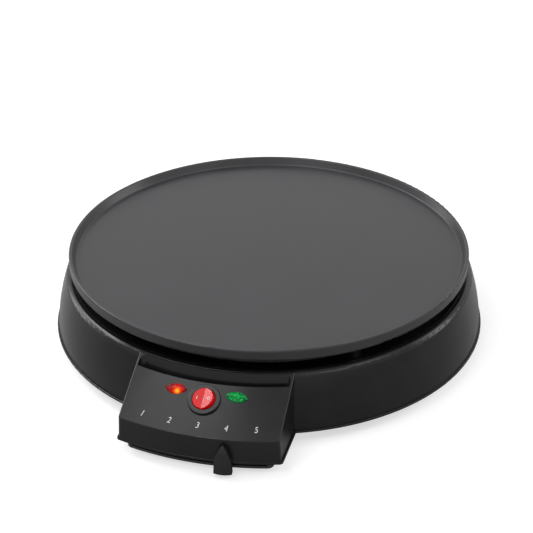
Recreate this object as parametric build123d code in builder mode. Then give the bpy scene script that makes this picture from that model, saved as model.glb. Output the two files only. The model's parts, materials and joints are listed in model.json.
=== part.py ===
from build123d import *
import math
import os

# Electric crepe maker, in millimetres. The origin is on the plate's axis at the height of the table,
# +Z is up, and the control console points along -Y. An azimuth is an angle about +Z from the front
# (-Y), positive towards +X. All heights are above the table.

os.makedirs("parts", exist_ok=True)

# ---- clearances ---------------------------------------------------------------
running_clearance = 0.05  # radial, a shaft in its bearing
seat_clearance = 0.15  # a part that sits in a pocket or passes through a hole
body_clearance = 0.7  # between a moving piece and what it passes

# ---- cooking plate ------------------------------------------------------------
plate_gap = 8.6  # open gap between the housing's lip and the plate
plate_radius = 155.0
plate_rim_width = 5.5
plate_floor_radius = plate_radius - plate_rim_width
plate_height = 9.1
plate_well_depth = 5.9
rim_crest_width = 2.4
rim_crest_round = 1.1
plate_lower_round = 2.5
well_round = 1.5
sensor_pad_radius = 14.0
sensor_pad_height = 2.0
plate_post_radius = 4.0

# ---- stance -------------------------------------------------------------------
stand_off = 10.0  # table to the housing's bottom edge
foot_count = 4
foot_radius = 9.0
foot_setback = 29.3  # from the skirt's foot
foot_first_azimuth = 45.0
foot_edge = 0.4
foot_peg_radius = 3.0
foot_peg_head_radius = 4.2
foot_peg_head_height = 2.0

# ---- housing ------------------------------------------------------------------
wall = 2.5
housing_height = 44.0
lip_inset = 0.1  # from the plate's edge
lip_radius = plate_radius - lip_inset
lip_width = 3.0
lip_slant = 2.9
skirt_shoulder_radius = lip_radius + lip_slant
shoulder_drop = 1.5  # below the lip's top
skirt_shoulder_height = housing_height - shoulder_drop
skirt_swell = 5.3  # from the shoulder to the waist
skirt_waist_radius = skirt_shoulder_radius + skirt_swell
skirt_waist_height = 24.0
skirt_flare = 3.2  # from the waist to the foot
skirt_foot_radius = skirt_waist_radius + skirt_flare
foot_circle_radius = skirt_foot_radius - foot_setback
lip_round = 1.2
shoulder_round = 5.0
deck_drop = 6.0
deck_slant = 1.0
ledge_width = 33.9
ledge_inner_radius = lip_radius - lip_width - ledge_width
bead_height = 1.6
bead_reach = 1.1
bead_front_reach = 0.4
bead_round = 0.5

# ---- control console ----------------------------------------------------------
console_reach = 36.7  # out of the skirt's foot
console_front_radius = skirt_foot_radius + console_reach
console_half_width = 59.4
console_draft = 3.0
console_front_height = 19.0
console_corner_radius = 3.0
console_edge_radius = 0.9
groove_setback = 2.1  # from the lip; the panel's slope would reach the lip's top here
groove_inner_radius = lip_radius + groove_setback
groove_width = 8.0
groove_outer_radius = groove_inner_radius + groove_width
groove_floor_height = 34.6
groove_side_wall = 3.8
groove_half_width = console_half_width - groove_side_wall
groove_corner_radius = 3.5
groove_wall = 1.7
groove_lean = 22.0  # of its inner wall
brow_radius = 0.8

# ---- heating element ----------------------------------------------------------
element_inset = 54.5  # from the plate's floor edge
element_ring_radius = plate_floor_radius - element_inset
element_tube_radius = 3.3
element_bend_radius = 9.0
element_gap_half_angle = 12.0
element_end_drop = 18.0
rib_thickness = 4.9
element_play = 0.1
sleeve_radius = 5.0
sleeve_length = 9.0
pin_radius = 1.2
pin_length = 7.0
strap_azimuths = [-120.0, -40.0, 40.0, 120.0]
strap_thickness = 1.0
strap_width = 9.0
strap_end_margin = 2.5

# ---- plate mounting -----------------------------------------------------------
standoff_count = 4
standoff_first_azimuth = 45.0
standoff_inset = 7.0
standoff_circle_radius = ledge_inner_radius + standoff_inset
standoff_radius = 4.5
standoff_boss_radius = 5.0
standoff_boss_height = 5.0
insulator_radius = 6.0
insulator_thickness = 1.2
reflector_thickness = 0.8
reflector_depth = 5.0
reflector_flange_width = 13.0
reflector_flange_radius = ledge_inner_radius + reflector_flange_width
reflector_opening_radius = 30.0

# ---- screws -------------------------------------------------------------------
large_screw_radius = 1.9
small_screw_radius = 1.3
thread_bite = 0.03  # a pilot hole is this much wider than its screw, radially
pilot_depth = 6.5
cover_screw_reach = 12.0
screw_hole_clearance = 0.3

# ---- thermostat and lever -----------------------------------------------------
thermostat_upper_radius = 12.0
thermostat_upper_height = 8.6
thermostat_lower_radius = 9.0
thermostat_lower_height = 9.0
thermostat_tab_offset = 6.3
thermostat_tab_width = 5.0
thermostat_tab_length = 9.0
tab_thickness = 0.8
tab_seat = 2.0  # how deep a tab is held in its body
bracket_post_offset = 25.0
bracket_thickness = 1.2
bracket_width = 11.0
bracket_eye_radius = 12.0
bracket_end_margin = 5.0
spindle_radius = 3.0
spindle_socket_depth = 6.0
spindle_flat = 2.2
lever_azimuth = 5.75  # at rest, by the fourth of the five marks
lever_thickness = 1.6
lever_width = 10.0
lever_hub_radius = 8.0
lever_neck_width = 7.0
lever_neck_length = 12.0
mark_pitch = 6.15
mark_count = 5
pointer_width = 13.0
pointer_shoulder_width = 12.4
pointer_shoulder_height = 7.0
pointer_height = 22.6
pointer_depth = 5.2
pointer_base_height = 3.5
pointer_edge_depth = 3.9
pointer_tip_depth = 1.8
pointer_socket_depth = 3.0

# ---- base cover ---------------------------------------------------------------
cover_thickness = 2.0
cover_clearance = 0.4
cover_rim_thickness = 1.6
cover_rim_height = 3.0
channel_drop = 5.0  # how far the lever's channel reaches below the cover
channel_hub_radius = 31.0
channel_side_inset = 5.5
channel_half_width = console_half_width - channel_side_inset
channel_front_inset = 2.0
channel_front_radius = console_front_radius - channel_front_inset
channel_root_half_width = 26.0
channel_root_distance = 14.0
channel_corner_radius = 5.0
slot_margin_angle = 2.0
cover_screw_count = 6
cover_screw_first_azimuth = 30.0
cover_screw_setback = 20.3
cover_screw_circle_radius = skirt_foot_radius - cover_screw_setback
cover_boss_radius = 4.0
access_hole_radius = 6.0
vent_count = 9
vent_spread = 200.0
vent_inner_radius = 62.0
vent_length = 34.0
vent_width = 3.0
guide_post_offset = 37.0
guide_post_height = 4.0
guide_width = 14.0
guide_thickness = 2.5
guide_boss_radius = 6.0
guide_boss_length = 3.0

# ---- switch -------------------------------------------------------------------
switch_setback = 25.2  # from the console's front
switch_position_radius = console_front_radius - switch_setback
bezel_radius = 11.75
bezel_height = 1.8
bezel_round = 0.8
switch_barrel_radius = 9.9
switch_barrel_depth = 11.5
switch_floor = 2.0
rocker_radius = 8.3
rocker_bore_radius = 8.6
rocker_pivot_height = 0.2  # over the panel
rocker_crown_height = 2.4  # over the pivot, at the crease
rocker_tilt = 10.0  # each way from the middle
rocker_bottom_depth = 4.0
trunnion_radius = 1.2
trunnion_seat = 1.0
plunger_radius = 1.2
plunger_gap = 0.35
contact_tilt = 8.0
contact_pivot_depth = 7.9  # under the panel
contact_length = 13.0
contact_width = 4.0
contact_thickness = 0.6
contact_hub_radius = 0.9
contact_play = 0.25
fixed_contact_offset = 5.5
switch_tab_width = 4.8
switch_tab_length = 7.0

# ---- lamps --------------------------------------------------------------------
lamp_setback = 4.1  # behind the switch
lamp_position_radius = switch_position_radius - lamp_setback
lamp_azimuth = 7.3
lens_length = 15.8
lens_width = 8.0
lens_proud = 0.9
lens_round = 0.6
lens_flange = 1.2
lens_pocket_length = 9.0
lens_pocket_width = 4.8
lens_pocket_roof = 1.3
neon_radius = 2.0
neon_length = 8.0
holder_height = 5.0

# ---- mains side ---------------------------------------------------------------
inlet_height = 28.0
inlet_hole_width = 15.0
inlet_hole_corner = 1.5
inlet_pad_radius = 12.4
inlet_pad_proud = 1.6
inlet_pad_thickness = 6.8
bushing_flange_radius = 11.2
bushing_flange_thickness = 1.6
bushing_collar_width = 16.6
bushing_collar_thickness = 2.2
bushing_tail = 2.5
cord_bore_radius = 3.8
clamp_distance = 140.0
clamp_post_offset = 10.0
clamp_post_radius = 3.6
clamp_bar_width = 8.0
clamp_bar_thickness = 3.0
clamp_screw_reach = 7.0
block_distance = 119.0
block_length = 34.0
block_width = 18.0
block_height = 14.0
block_pitch = 10.0
block_entry_height = 6.0
block_entry_depth = 5.0
lead_radius = 1.05
lead_hole_radius = 1.25
earth_post_distance = 24.0
earth_tag_length = 9.5
earth_lead_drop = 13.5
fuse_offset = 45.0
fuse_middle = 60.0
fuse_sleeve_radius = 3.0
fuse_sleeve_length = 40.0
fuse_strap_thickness = 0.8
fuse_strap_width = 10.0
fuse_strap_foot = 7.5

# ---- levels that follow -------------------------------------------------------
housing_bottom = stand_off
lip_top = housing_bottom + housing_height
ledge_top = lip_top - deck_drop
ledge_bottom = ledge_top - wall
plate_bottom = lip_top + plate_gap
plate_top = plate_bottom + plate_height
plate_floor = plate_top - plate_well_depth
panel_slope = math.degrees(
    math.atan2(housing_height - console_front_height, console_front_radius - groove_inner_radius)
)
panel_rise = math.tan(math.radians(panel_slope))
panel_sink = wall / math.cos(math.radians(panel_slope))  # the panel's wall, measured upright
cover_bottom = housing_bottom
cover_top = cover_bottom + cover_thickness
channel_bottom = cover_bottom - channel_drop
channel_floor = channel_bottom + cover_thickness
lever_bottom = channel_floor + body_clearance
lever_top = lever_bottom + lever_thickness
rib_bottom = plate_bottom - 2 * (element_tube_radius + element_play)
element_level = plate_bottom - element_tube_radius - element_play
reflector_floor = ledge_top - reflector_depth
standoff_bottom = ledge_top + reflector_thickness + insulator_thickness
standoff_top = plate_bottom - standoff_boss_height
thermostat_top = plate_bottom - sensor_pad_height
bracket_top = thermostat_top - thermostat_upper_height
thermostat_bottom = bracket_top - thermostat_lower_height
guide_bottom = cover_top + guide_post_height
fuse_screw_offset = fuse_sleeve_radius + fuse_strap_foot - 3
lever_travel = mark_pitch * (mark_count - 1) / 2


def panel_level(radius):
    """Height of the panel's surface at this distance from the plate's axis."""
    return housing_bottom + console_front_height + (console_front_radius - radius) * panel_rise


def outward(azimuth):
    """Level unit vector that points away from the plate's axis."""
    return Vector(math.sin(math.radians(azimuth)), -math.cos(math.radians(azimuth)), 0)


def across(azimuth):
    """Level unit vector along the circle, anticlockwise seen from above."""
    return Vector(math.cos(math.radians(azimuth)), math.sin(math.radians(azimuth)), 0)


def section_plane(azimuth):
    """Upright plane through the plate's axis: x is the radius and y is the height."""
    return Plane(origin=(0, 0, 0), x_dir=outward(azimuth), z_dir=-across(azimuth))


def level_plane(azimuth, radius, height):
    """Level plane whose x points outward, centred at this radius."""
    return Plane(origin=outward(azimuth) * radius + Vector(0, 0, height), x_dir=outward(azimuth))


def facing_plane(azimuth, radius, height):
    """Upright plane that faces outward: x runs across and y is up."""
    origin = outward(azimuth) * radius + Vector(0, 0, height)
    return Plane(origin=origin, x_dir=across(azimuth), z_dir=outward(azimuth))


def panel_plane(azimuth, radius):
    """Plane on the panel's surface: x runs across and y runs up the slope."""
    origin = outward(azimuth) * radius + Vector(0, 0, panel_level(radius))
    lean = math.radians(panel_slope)
    normal = outward(azimuth) * math.sin(lean) + Vector(0, 0, math.cos(lean))
    return Plane(origin=origin, x_dir=across(azimuth), z_dir=normal)


def turned(plane, angle):
    """The plane turned about its own y axis."""
    return Plane(plane.location * Location((0, 0, 0), (0, angle, 0)))


def swung(plane, angle):
    """The plane swung about its own normal."""
    return Plane(plane.location * Location((0, 0, 0), (0, 0, angle)))


def ring_places(radius, count, first_azimuth, height):
    """Places evenly spread on a circle about the plate's axis."""
    step = 360 / count
    return [
        Location(outward(first_azimuth + i * step) * radius + Vector(0, 0, height)) for i in range(count)
    ]


def corner_near(sketch, x, y):
    """The sketch's corner that is nearest to a point."""
    return sketch.vertices().sort_by_distance(Vector(x, y, 0))[0]


def screw(shank_radius, length):
    """A pan-head screw at the current place: its shank points up and its slotted head is below."""
    head_height = 1.2 * shank_radius
    Cylinder(shank_radius, length, align=(Align.CENTER, Align.CENTER, Align.MIN))
    Cylinder(2 * shank_radius, head_height, align=(Align.CENTER, Align.CENTER, Align.MAX))
    with Locations((0, 0, -head_height)):
        Box(
            3 * shank_radius,
            0.4 * shank_radius,
            0.4 * head_height,
            align=(Align.CENTER, Align.CENTER, Align.MIN),
            mode=Mode.SUBTRACT,
        )


def turned_over(x, y, z):
    """A place for a screw that is driven from above."""
    return Location((x, y, z), (180, 0, 0))


def bend_radii(points):
    """The largest tangent arc at each corner of a lead's route: 0.45 of the shorter run beside it."""
    radii = []
    for before, here, after in zip(points, points[1:], points[2:]):
        run_in, run_out = Vector(*here) - Vector(*before), Vector(*after) - Vector(*here)
        half_turn = math.radians(run_in.get_angle(run_out)) / 2
        radii.append(0.45 * min(run_in.length, run_out.length) / math.tan(half_turn))
    return radii


def pointed_oval(length, width):
    """A pointed oval face in the current sketch."""
    with BuildLine() as oval:
        ThreePointArc((-length / 2, 0), (0, width / 2), (length / 2, 0))
        ThreePointArc((length / 2, 0), (0, -width / 2), (-length / 2, 0))
    make_face(oval.edges())


def write(piece, name):
    """Label a finished piece and write it as its own file."""
    piece.part.label = name
    export_step(piece.part, f"parts/{name}.step")


switch_plane = panel_plane(0, switch_position_radius)
rocker_pivot = switch_plane.offset(rocker_pivot_height)
contact_pivot = switch_plane.offset(-contact_pivot_depth)
lamp_planes = [
    swung(panel_plane(side * lamp_azimuth, lamp_position_radius), -side * lamp_azimuth) for side in (-1, 1)
]
standoff_places = ring_places(standoff_circle_radius, standoff_count, standoff_first_azimuth, 0)

# ---- cooking plate ------------------------------------------------------------
with BuildPart() as cooking_plate:
    with BuildSketch(Plane.XZ) as plate_section:
        with BuildLine():
            Polyline(
                (0, plate_bottom),
                (plate_radius, plate_bottom),
                (plate_radius, plate_top),
                (plate_radius - rim_crest_width, plate_top),
                (plate_floor_radius, plate_floor),
                (0, plate_floor),
                close=True,
            )
        make_face()
        fillet(corner_near(plate_section, plate_radius, plate_bottom), plate_lower_round)
        fillet(corner_near(plate_section, plate_radius, plate_top), rim_crest_round)
        fillet(corner_near(plate_section, plate_radius - rim_crest_width, plate_top), rim_crest_round)
        fillet(corner_near(plate_section, plate_floor_radius, plate_floor), well_round)
    revolve(axis=Axis.Z)
    for rib_side in (-1, 1):
        rib_inner = element_ring_radius + rib_side * (element_tube_radius + element_play)
        rib_outer = rib_inner + rib_side * rib_thickness
        with BuildSketch(Plane.XY.offset(plate_bottom)):
            Circle(max(rib_inner, rib_outer))
            Circle(min(rib_inner, rib_outer), mode=Mode.SUBTRACT)
        extrude(amount=rib_bottom - plate_bottom)
    # The channel opens where the element's ends leave it.
    gap_half_width = element_ring_radius * math.sin(math.radians(element_gap_half_angle)) + 1
    with Locations((0, element_ring_radius, plate_bottom)):
        Box(
            2 * gap_half_width,
            4 * (element_tube_radius + rib_thickness),
            plate_bottom - rib_bottom,
            align=(Align.CENTER, Align.CENTER, Align.MAX),
            mode=Mode.SUBTRACT,
        )
    with Locations((0, 0, plate_bottom)):
        Cylinder(sensor_pad_radius, sensor_pad_height, align=(Align.CENTER, Align.CENTER, Align.MAX))
    with Locations((-bracket_post_offset, 0, bracket_top), (bracket_post_offset, 0, bracket_top)):
        Cylinder(
            plate_post_radius, plate_bottom - bracket_top, align=(Align.CENTER, Align.CENTER, Align.MIN)
        )
    with Locations((0, earth_post_distance, bracket_top)):
        Cylinder(
            plate_post_radius, plate_bottom - bracket_top, align=(Align.CENTER, Align.CENTER, Align.MIN)
        )
    with Locations(standoff_places):
        with Locations((0, 0, standoff_top)):
            Cylinder(
                standoff_boss_radius, standoff_boss_height, align=(Align.CENTER, Align.CENTER, Align.MIN)
            )
            Cylinder(
                large_screw_radius + thread_bite,
                standoff_boss_height + 1.4,
                align=(Align.CENTER, Align.CENTER, Align.MIN),
                mode=Mode.SUBTRACT,
            )
    with Locations(
        (-bracket_post_offset, 0, bracket_top),
        (bracket_post_offset, 0, bracket_top),
        (0, earth_post_distance, bracket_top),
    ):
        Cylinder(
            small_screw_radius + thread_bite,
            pilot_depth,
            align=(Align.CENTER, Align.CENTER, Align.MIN),
            mode=Mode.SUBTRACT,
        )
    for azimuth in strap_azimuths:
        with Locations(level_plane(azimuth, element_ring_radius, rib_bottom)):
            rib_middle = element_tube_radius + element_play + rib_thickness / 2
            with Locations((-rib_middle, 0, 0), (rib_middle, 0, 0)):
                Cylinder(
                    small_screw_radius + thread_bite,
                    pilot_depth,
                    align=(Align.CENTER, Align.CENTER, Align.MIN),
                    mode=Mode.SUBTRACT,
                )
write(cooking_plate, "cooking_plate")

# ---- control console, as a block and as its hollow ----------------------------
draft_run = math.tan(math.radians(console_draft))


def console_width_at(half_width, height):
    """The console's half-width at this height over the housing's bottom edge."""
    return half_width - height * draft_run


with BuildPart() as console_block:
    uncut_height = housing_height + 2 * wall
    with BuildSketch(Plane.XZ):
        with BuildLine():
            Polyline(
                (-console_width_at(console_half_width, 0), housing_bottom),
                (console_width_at(console_half_width, 0), housing_bottom),
                (console_width_at(console_half_width, uncut_height), housing_bottom + uncut_height),
                (-console_width_at(console_half_width, uncut_height), housing_bottom + uncut_height),
                close=True,
            )
        make_face()
    extrude(amount=console_front_radius + wall)
    block_back = lip_radius + lip_round
    with BuildSketch(Plane.XZ):
        with BuildLine():
            Polyline(
                (block_back, housing_bottom),
                (console_front_radius, housing_bottom),
                (console_front_radius, panel_level(console_front_radius)),
                (block_back, panel_level(block_back)),
                close=True,
            )
        make_face()
    revolve(axis=Axis.Z, mode=Mode.INTERSECT)
    upright_corners = console_block.edges().filter_by(
        lambda edge: abs(edge.tangent_at(0.5).Z) > 0.9 and edge.center().Y < -1.1 * block_back
    )
    fillet(upright_corners, console_corner_radius)
    panel_edges = (
        console_block.faces()
        .filter_by(GeomType.CONE)
        .sort_by(SortBy.AREA)[-1]
        .edges()
        .filter_by(lambda edge: edge.center().Z < lip_top - lip_round)
    )
    fillet(panel_edges, console_edge_radius)
    with Locations((0, 0, lip_top)):
        Box(
            3 * console_front_radius,
            3 * console_front_radius,
            uncut_height,
            align=(Align.CENTER, Align.CENTER, Align.MIN),
            mode=Mode.SUBTRACT,
        )
    # Cut back to the skirt's inner face.
    with BuildSketch(Plane.XZ):
        with BuildLine():
            Line((0, housing_bottom), (skirt_foot_radius - wall, housing_bottom))
            ThreePointArc(
                (skirt_foot_radius - wall, housing_bottom),
                (skirt_waist_radius - wall, housing_bottom + skirt_waist_height),
                (skirt_shoulder_radius - wall, ledge_bottom),
            )
            Polyline((skirt_shoulder_radius - wall, ledge_bottom), (0, ledge_bottom), (0, housing_bottom))
        make_face()
    revolve(axis=Axis.Z, mode=Mode.SUBTRACT)

with BuildPart() as console_hollow:
    with BuildSketch(Plane.XZ):
        with BuildLine():
            Polyline(
                (-console_width_at(console_half_width, 0) + wall, housing_bottom),
                (console_width_at(console_half_width, 0) - wall, housing_bottom),
                (console_width_at(console_half_width, housing_height) - wall, lip_top),
                (-console_width_at(console_half_width, housing_height) + wall, lip_top),
                close=True,
            )
        make_face()
    extrude(amount=console_front_radius)
    hollow_back = ledge_inner_radius
    hollow_under_groove = housing_bottom + groove_floor_height - groove_wall
    hollow_behind_groove = groove_outer_radius + groove_wall
    with BuildSketch(Plane.XZ):
        with BuildLine():
            Polyline(
                (hollow_back, housing_bottom),
                (console_front_radius - wall, housing_bottom),
                (console_front_radius - wall, panel_level(console_front_radius - wall) - panel_sink),
                (hollow_behind_groove, panel_level(hollow_behind_groove) - panel_sink),
                (hollow_behind_groove, hollow_under_groove),
                (hollow_back, hollow_under_groove),
                close=True,
            )
        make_face()
    revolve(axis=Axis.Z, mode=Mode.INTERSECT)

# The groove that parts the panel from the housing's lip.
with BuildPart() as panel_groove:
    groove_floor = housing_bottom + groove_floor_height
    groove_rise = lip_top - groove_floor
    groove_foot_radius = groove_inner_radius + groove_rise * math.tan(math.radians(groove_lean))
    with BuildSketch(Plane.XZ):
        with BuildLine():
            Polyline(
                (groove_foot_radius, groove_floor),
                (groove_outer_radius, groove_floor),
                (groove_outer_radius, groove_floor + 2 * groove_rise),
                (2 * groove_inner_radius - groove_foot_radius, groove_floor + 2 * groove_rise),
                close=True,
            )
        make_face()
    revolve(axis=Axis.Z)
    with BuildSketch(Plane.XY.offset(groove_floor)):
        Rectangle(2 * groove_half_width, 2 * groove_outer_radius, align=(Align.CENTER, Align.MAX))
    extrude(amount=2 * groove_rise, mode=Mode.INTERSECT)
    groove_corners = panel_groove.edges().filter_by(
        lambda edge: abs(edge.tangent_at(0.5).Z) > 0.9
        and math.hypot(edge.center().X, edge.center().Y) < (groove_inner_radius + groove_outer_radius) / 2
    )
    fillet(groove_corners, groove_corner_radius)

# ---- housing ------------------------------------------------------------------
cover_boss_places = ring_places(
    cover_screw_circle_radius, cover_screw_count, cover_screw_first_azimuth, cover_top
)
skirt_at_inlet = skirt_waist_radius  # the pad's face stands off from the skirt's waist
inlet_face = skirt_at_inlet + inlet_pad_proud + 1.5
with BuildPart() as housing:
    with BuildSketch(Plane.XZ) as skirt_section:
        shoulder = (skirt_shoulder_radius, housing_bottom + skirt_shoulder_height)
        lip_inner_radius = lip_radius - lip_width
        with BuildLine():
            ThreePointArc(
                (skirt_foot_radius, housing_bottom),
                (skirt_waist_radius, housing_bottom + skirt_waist_height),
                shoulder,
            )
            Polyline(
                shoulder,
                (lip_radius, lip_top),
                (lip_inner_radius, lip_top),
                (lip_inner_radius - deck_slant, ledge_top),
                (ledge_inner_radius, ledge_top),
                (ledge_inner_radius, ledge_bottom),
                (skirt_shoulder_radius - wall, ledge_bottom),
            )
            ThreePointArc(
                (skirt_shoulder_radius - wall, ledge_bottom),
                (skirt_waist_radius - wall, housing_bottom + skirt_waist_height),
                (skirt_foot_radius - wall, housing_bottom),
            )
            Line((skirt_foot_radius - wall, housing_bottom), (skirt_foot_radius, housing_bottom))
        make_face()
        fillet(corner_near(skirt_section, *shoulder), shoulder_round)
        fillet(corner_near(skirt_section, lip_radius, lip_top), lip_round)
        fillet(corner_near(skirt_section, lip_inner_radius, lip_top), lip_round)
    revolve(axis=Axis.Z)
    with BuildSketch(Plane.XY.offset(housing_bottom)):
        Circle(skirt_foot_radius + bead_reach)
        Circle(skirt_foot_radius - wall, mode=Mode.SUBTRACT)
    extrude(amount=bead_height)
    with BuildSketch(Plane.XY.offset(housing_bottom)) as console_bead:
        Circle(console_front_radius + bead_front_reach)
        Circle(skirt_foot_radius - wall, mode=Mode.SUBTRACT)
        Rectangle(
            2 * (console_half_width + bead_reach),
            2 * console_front_radius,
            align=(Align.CENTER, Align.MAX),
            mode=Mode.INTERSECT,
        )
        bead_corner_y = -math.sqrt(console_front_radius**2 - console_half_width**2)
        fillet(
            [
                corner_near(console_bead, -console_half_width, bead_corner_y),
                corner_near(console_bead, console_half_width, bead_corner_y),
            ],
            console_corner_radius,
        )
    extrude(amount=bead_height)
    bead_rim = housing.edges().filter_by(GeomType.CIRCLE).filter_by(
        lambda edge: edge.radius > skirt_foot_radius + bead_reach / 2 and edge.center().Z > housing_bottom + 1
    )
    fillet(bead_rim, bead_round)
    add(console_block.part)
    add(panel_groove.part, mode=Mode.SUBTRACT)
    add(console_hollow.part, mode=Mode.SUBTRACT)
    brow = housing.edges().filter_by(GeomType.CIRCLE).filter_by(
        lambda edge: abs(edge.radius - groove_outer_radius) < 0.1
        and abs(edge.center().Z - panel_level(groove_outer_radius)) < 0.1
    )
    fillet(brow, brow_radius)
    # Screw bosses under the ledge.
    with Locations(cover_boss_places):
        Cylinder(
            cover_boss_radius, ledge_bottom - cover_top, align=(Align.CENTER, Align.CENTER, Align.MIN)
        )
        Cylinder(
            small_screw_radius + thread_bite,
            cover_screw_reach + cover_thickness,
            align=(Align.CENTER, Align.CENTER, Align.MIN),
            mode=Mode.SUBTRACT,
        )
    with Locations(standoff_places):
        with Locations((0, 0, ledge_bottom)):
            Cylinder(
                large_screw_radius + screw_hole_clearance,
                wall,
                align=(Align.CENTER, Align.CENTER, Align.MIN),
                mode=Mode.SUBTRACT,
            )
    # The cord inlet's pad and hole.
    with Locations(facing_plane(180, inlet_face, inlet_height)):
        Cylinder(inlet_pad_radius, inlet_pad_thickness, align=(Align.CENTER, Align.CENTER, Align.MAX))
    with BuildSketch(facing_plane(180, inlet_face, inlet_height)):
        RectangleRounded(inlet_hole_width, inlet_hole_width, inlet_hole_corner)
    extrude(amount=2 * inlet_pad_thickness, both=True, mode=Mode.SUBTRACT)
    # Openings in the panel for the switch and the lamps.
    with Locations(switch_plane):
        Cylinder(switch_barrel_radius + seat_clearance, 2 * switch_barrel_depth, mode=Mode.SUBTRACT)
        Cylinder(
            bezel_radius + seat_clearance,
            seat_clearance,
            align=(Align.CENTER, Align.CENTER, Align.MAX),
            mode=Mode.SUBTRACT,
        )
    for lamp_plane in lamp_planes:
        with BuildSketch(lamp_plane.offset(2 * wall)):
            pointed_oval(lens_length + 2 * seat_clearance, lens_width + 2 * seat_clearance)
        extrude(amount=-4 * wall, mode=Mode.SUBTRACT)
write(housing, "housing")

# ---- base cover ---------------------------------------------------------------
slot_half_angle = lever_travel + slot_margin_angle


def fan_outline(inset):
    """The plan of the lever's channel in the current sketch, drawn this far inside its outer edge."""
    front_radius = channel_front_radius - inset
    front_half_width = channel_half_width - inset
    corner_y = -math.sqrt(front_radius**2 - front_half_width**2)
    with BuildLine() as fan:
        Polyline(
            (-channel_root_half_width + inset, -channel_root_distance),
            (-front_half_width, corner_y),
            (-front_half_width, -front_radius),
            (front_half_width, -front_radius),
            (front_half_width, corner_y),
            (channel_root_half_width - inset, -channel_root_distance),
            close=True,
        )
    make_face(fan.edges())
    Circle(front_radius, mode=Mode.INTERSECT)
    Circle(channel_hub_radius - inset)


with BuildPart() as base_cover:
    with BuildSketch(Plane.XY.offset(cover_bottom)):
        extension_half_width = console_half_width - wall - cover_clearance
        extension_front = console_front_radius - wall - cover_clearance
        Circle(extension_front)
        Rectangle(
            2 * extension_half_width,
            2 * extension_front,
            align=(Align.CENTER, Align.MAX),
            mode=Mode.INTERSECT,
        )
        Circle(skirt_foot_radius - wall - cover_clearance)
    extrude(amount=cover_thickness)
    with BuildSketch(Plane.XY.offset(cover_top)):
        rim_outer_radius = skirt_foot_radius - wall - 3 * cover_clearance
        Circle(rim_outer_radius)
        Circle(rim_outer_radius - cover_rim_thickness, mode=Mode.SUBTRACT)
        Rectangle(
            2 * console_half_width,
            console_front_radius,
            align=(Align.CENTER, Align.MAX),
            mode=Mode.SUBTRACT,
        )
    extrude(amount=cover_rim_height)
    with BuildSketch(Plane.XY.offset(channel_bottom)) as channel_plan:
        fan_outline(0)
        channel_corner_y = -math.sqrt(channel_front_radius**2 - channel_half_width**2)
        fillet(
            [
                corner_near(channel_plan, -channel_half_width, channel_corner_y),
                corner_near(channel_plan, channel_half_width, channel_corner_y),
            ],
            channel_corner_radius,
        )
    extrude(amount=channel_drop)
    with BuildSketch(Plane.XY.offset(channel_floor)):
        fan_outline(cover_thickness)
    extrude(amount=channel_drop, mode=Mode.SUBTRACT)
    # The open slot along the front, where the lever comes out.
    with BuildSketch(Plane.XY.offset(channel_floor)):
        with BuildLine():
            slot_reach = channel_front_radius + 2 * wall
            Polyline(
                (0, 0),
                tuple(outward(-slot_half_angle) * slot_reach)[:2],
                tuple(outward(0) * slot_reach * 1.1)[:2],
                tuple(outward(slot_half_angle) * slot_reach)[:2],
                close=True,
            )
        make_face()
    extrude(amount=cover_bottom - channel_floor, mode=Mode.SUBTRACT)
    # Posts for the lever guide.
    with Locations((-guide_post_offset, 0, cover_top), (guide_post_offset, 0, cover_top)):
        Cylinder(cover_boss_radius, guide_post_height, align=(Align.CENTER, Align.CENTER, Align.MIN))
    # Screw holes and pilot holes.
    with Locations(
        ring_places(cover_screw_circle_radius, cover_screw_count, cover_screw_first_azimuth, cover_bottom)
    ):
        Cylinder(
            small_screw_radius + screw_hole_clearance,
            cover_thickness,
            align=(Align.CENTER, Align.CENTER, Align.MIN),
            mode=Mode.SUBTRACT,
        )
    with Locations((-guide_post_offset, 0, guide_bottom), (guide_post_offset, 0, guide_bottom)):
        Cylinder(
            small_screw_radius + thread_bite,
            5,
            align=(Align.CENTER, Align.CENTER, Align.MAX),
            mode=Mode.SUBTRACT,
        )
    with Locations(
        (-clamp_post_offset, clamp_distance, cover_bottom),
        (clamp_post_offset, clamp_distance, cover_bottom),
    ):
        Cylinder(
            small_screw_radius + screw_hole_clearance,
            cover_thickness,
            align=(Align.CENTER, Align.CENTER, Align.MIN),
            mode=Mode.SUBTRACT,
        )
    with Locations((0, 0, channel_bottom)):
        Cylinder(
            access_hole_radius,
            cover_thickness,
            align=(Align.CENTER, Align.CENTER, Align.MIN),
            mode=Mode.SUBTRACT,
        )
    with Locations(ring_places(foot_circle_radius, foot_count, foot_first_azimuth, cover_bottom)):
        Cylinder(
            foot_peg_radius + seat_clearance,
            cover_thickness,
            align=(Align.CENTER, Align.CENTER, Align.MIN),
            mode=Mode.SUBTRACT,
        )
    # Cooling slots round the rear half.
    with BuildSketch(Plane.XY.offset(cover_bottom)):
        for i in range(vent_count):
            azimuth = 180 - vent_spread / 2 + i * vent_spread / (vent_count - 1)
            with Locations(
                Location(
                    outward(azimuth) * (vent_inner_radius + vent_length / 2),
                    (0, 0, azimuth - 90),
                )
            ):
                SlotOverall(vent_length, vent_width)
    extrude(amount=cover_thickness, mode=Mode.SUBTRACT)
write(base_cover, "base_cover")

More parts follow.
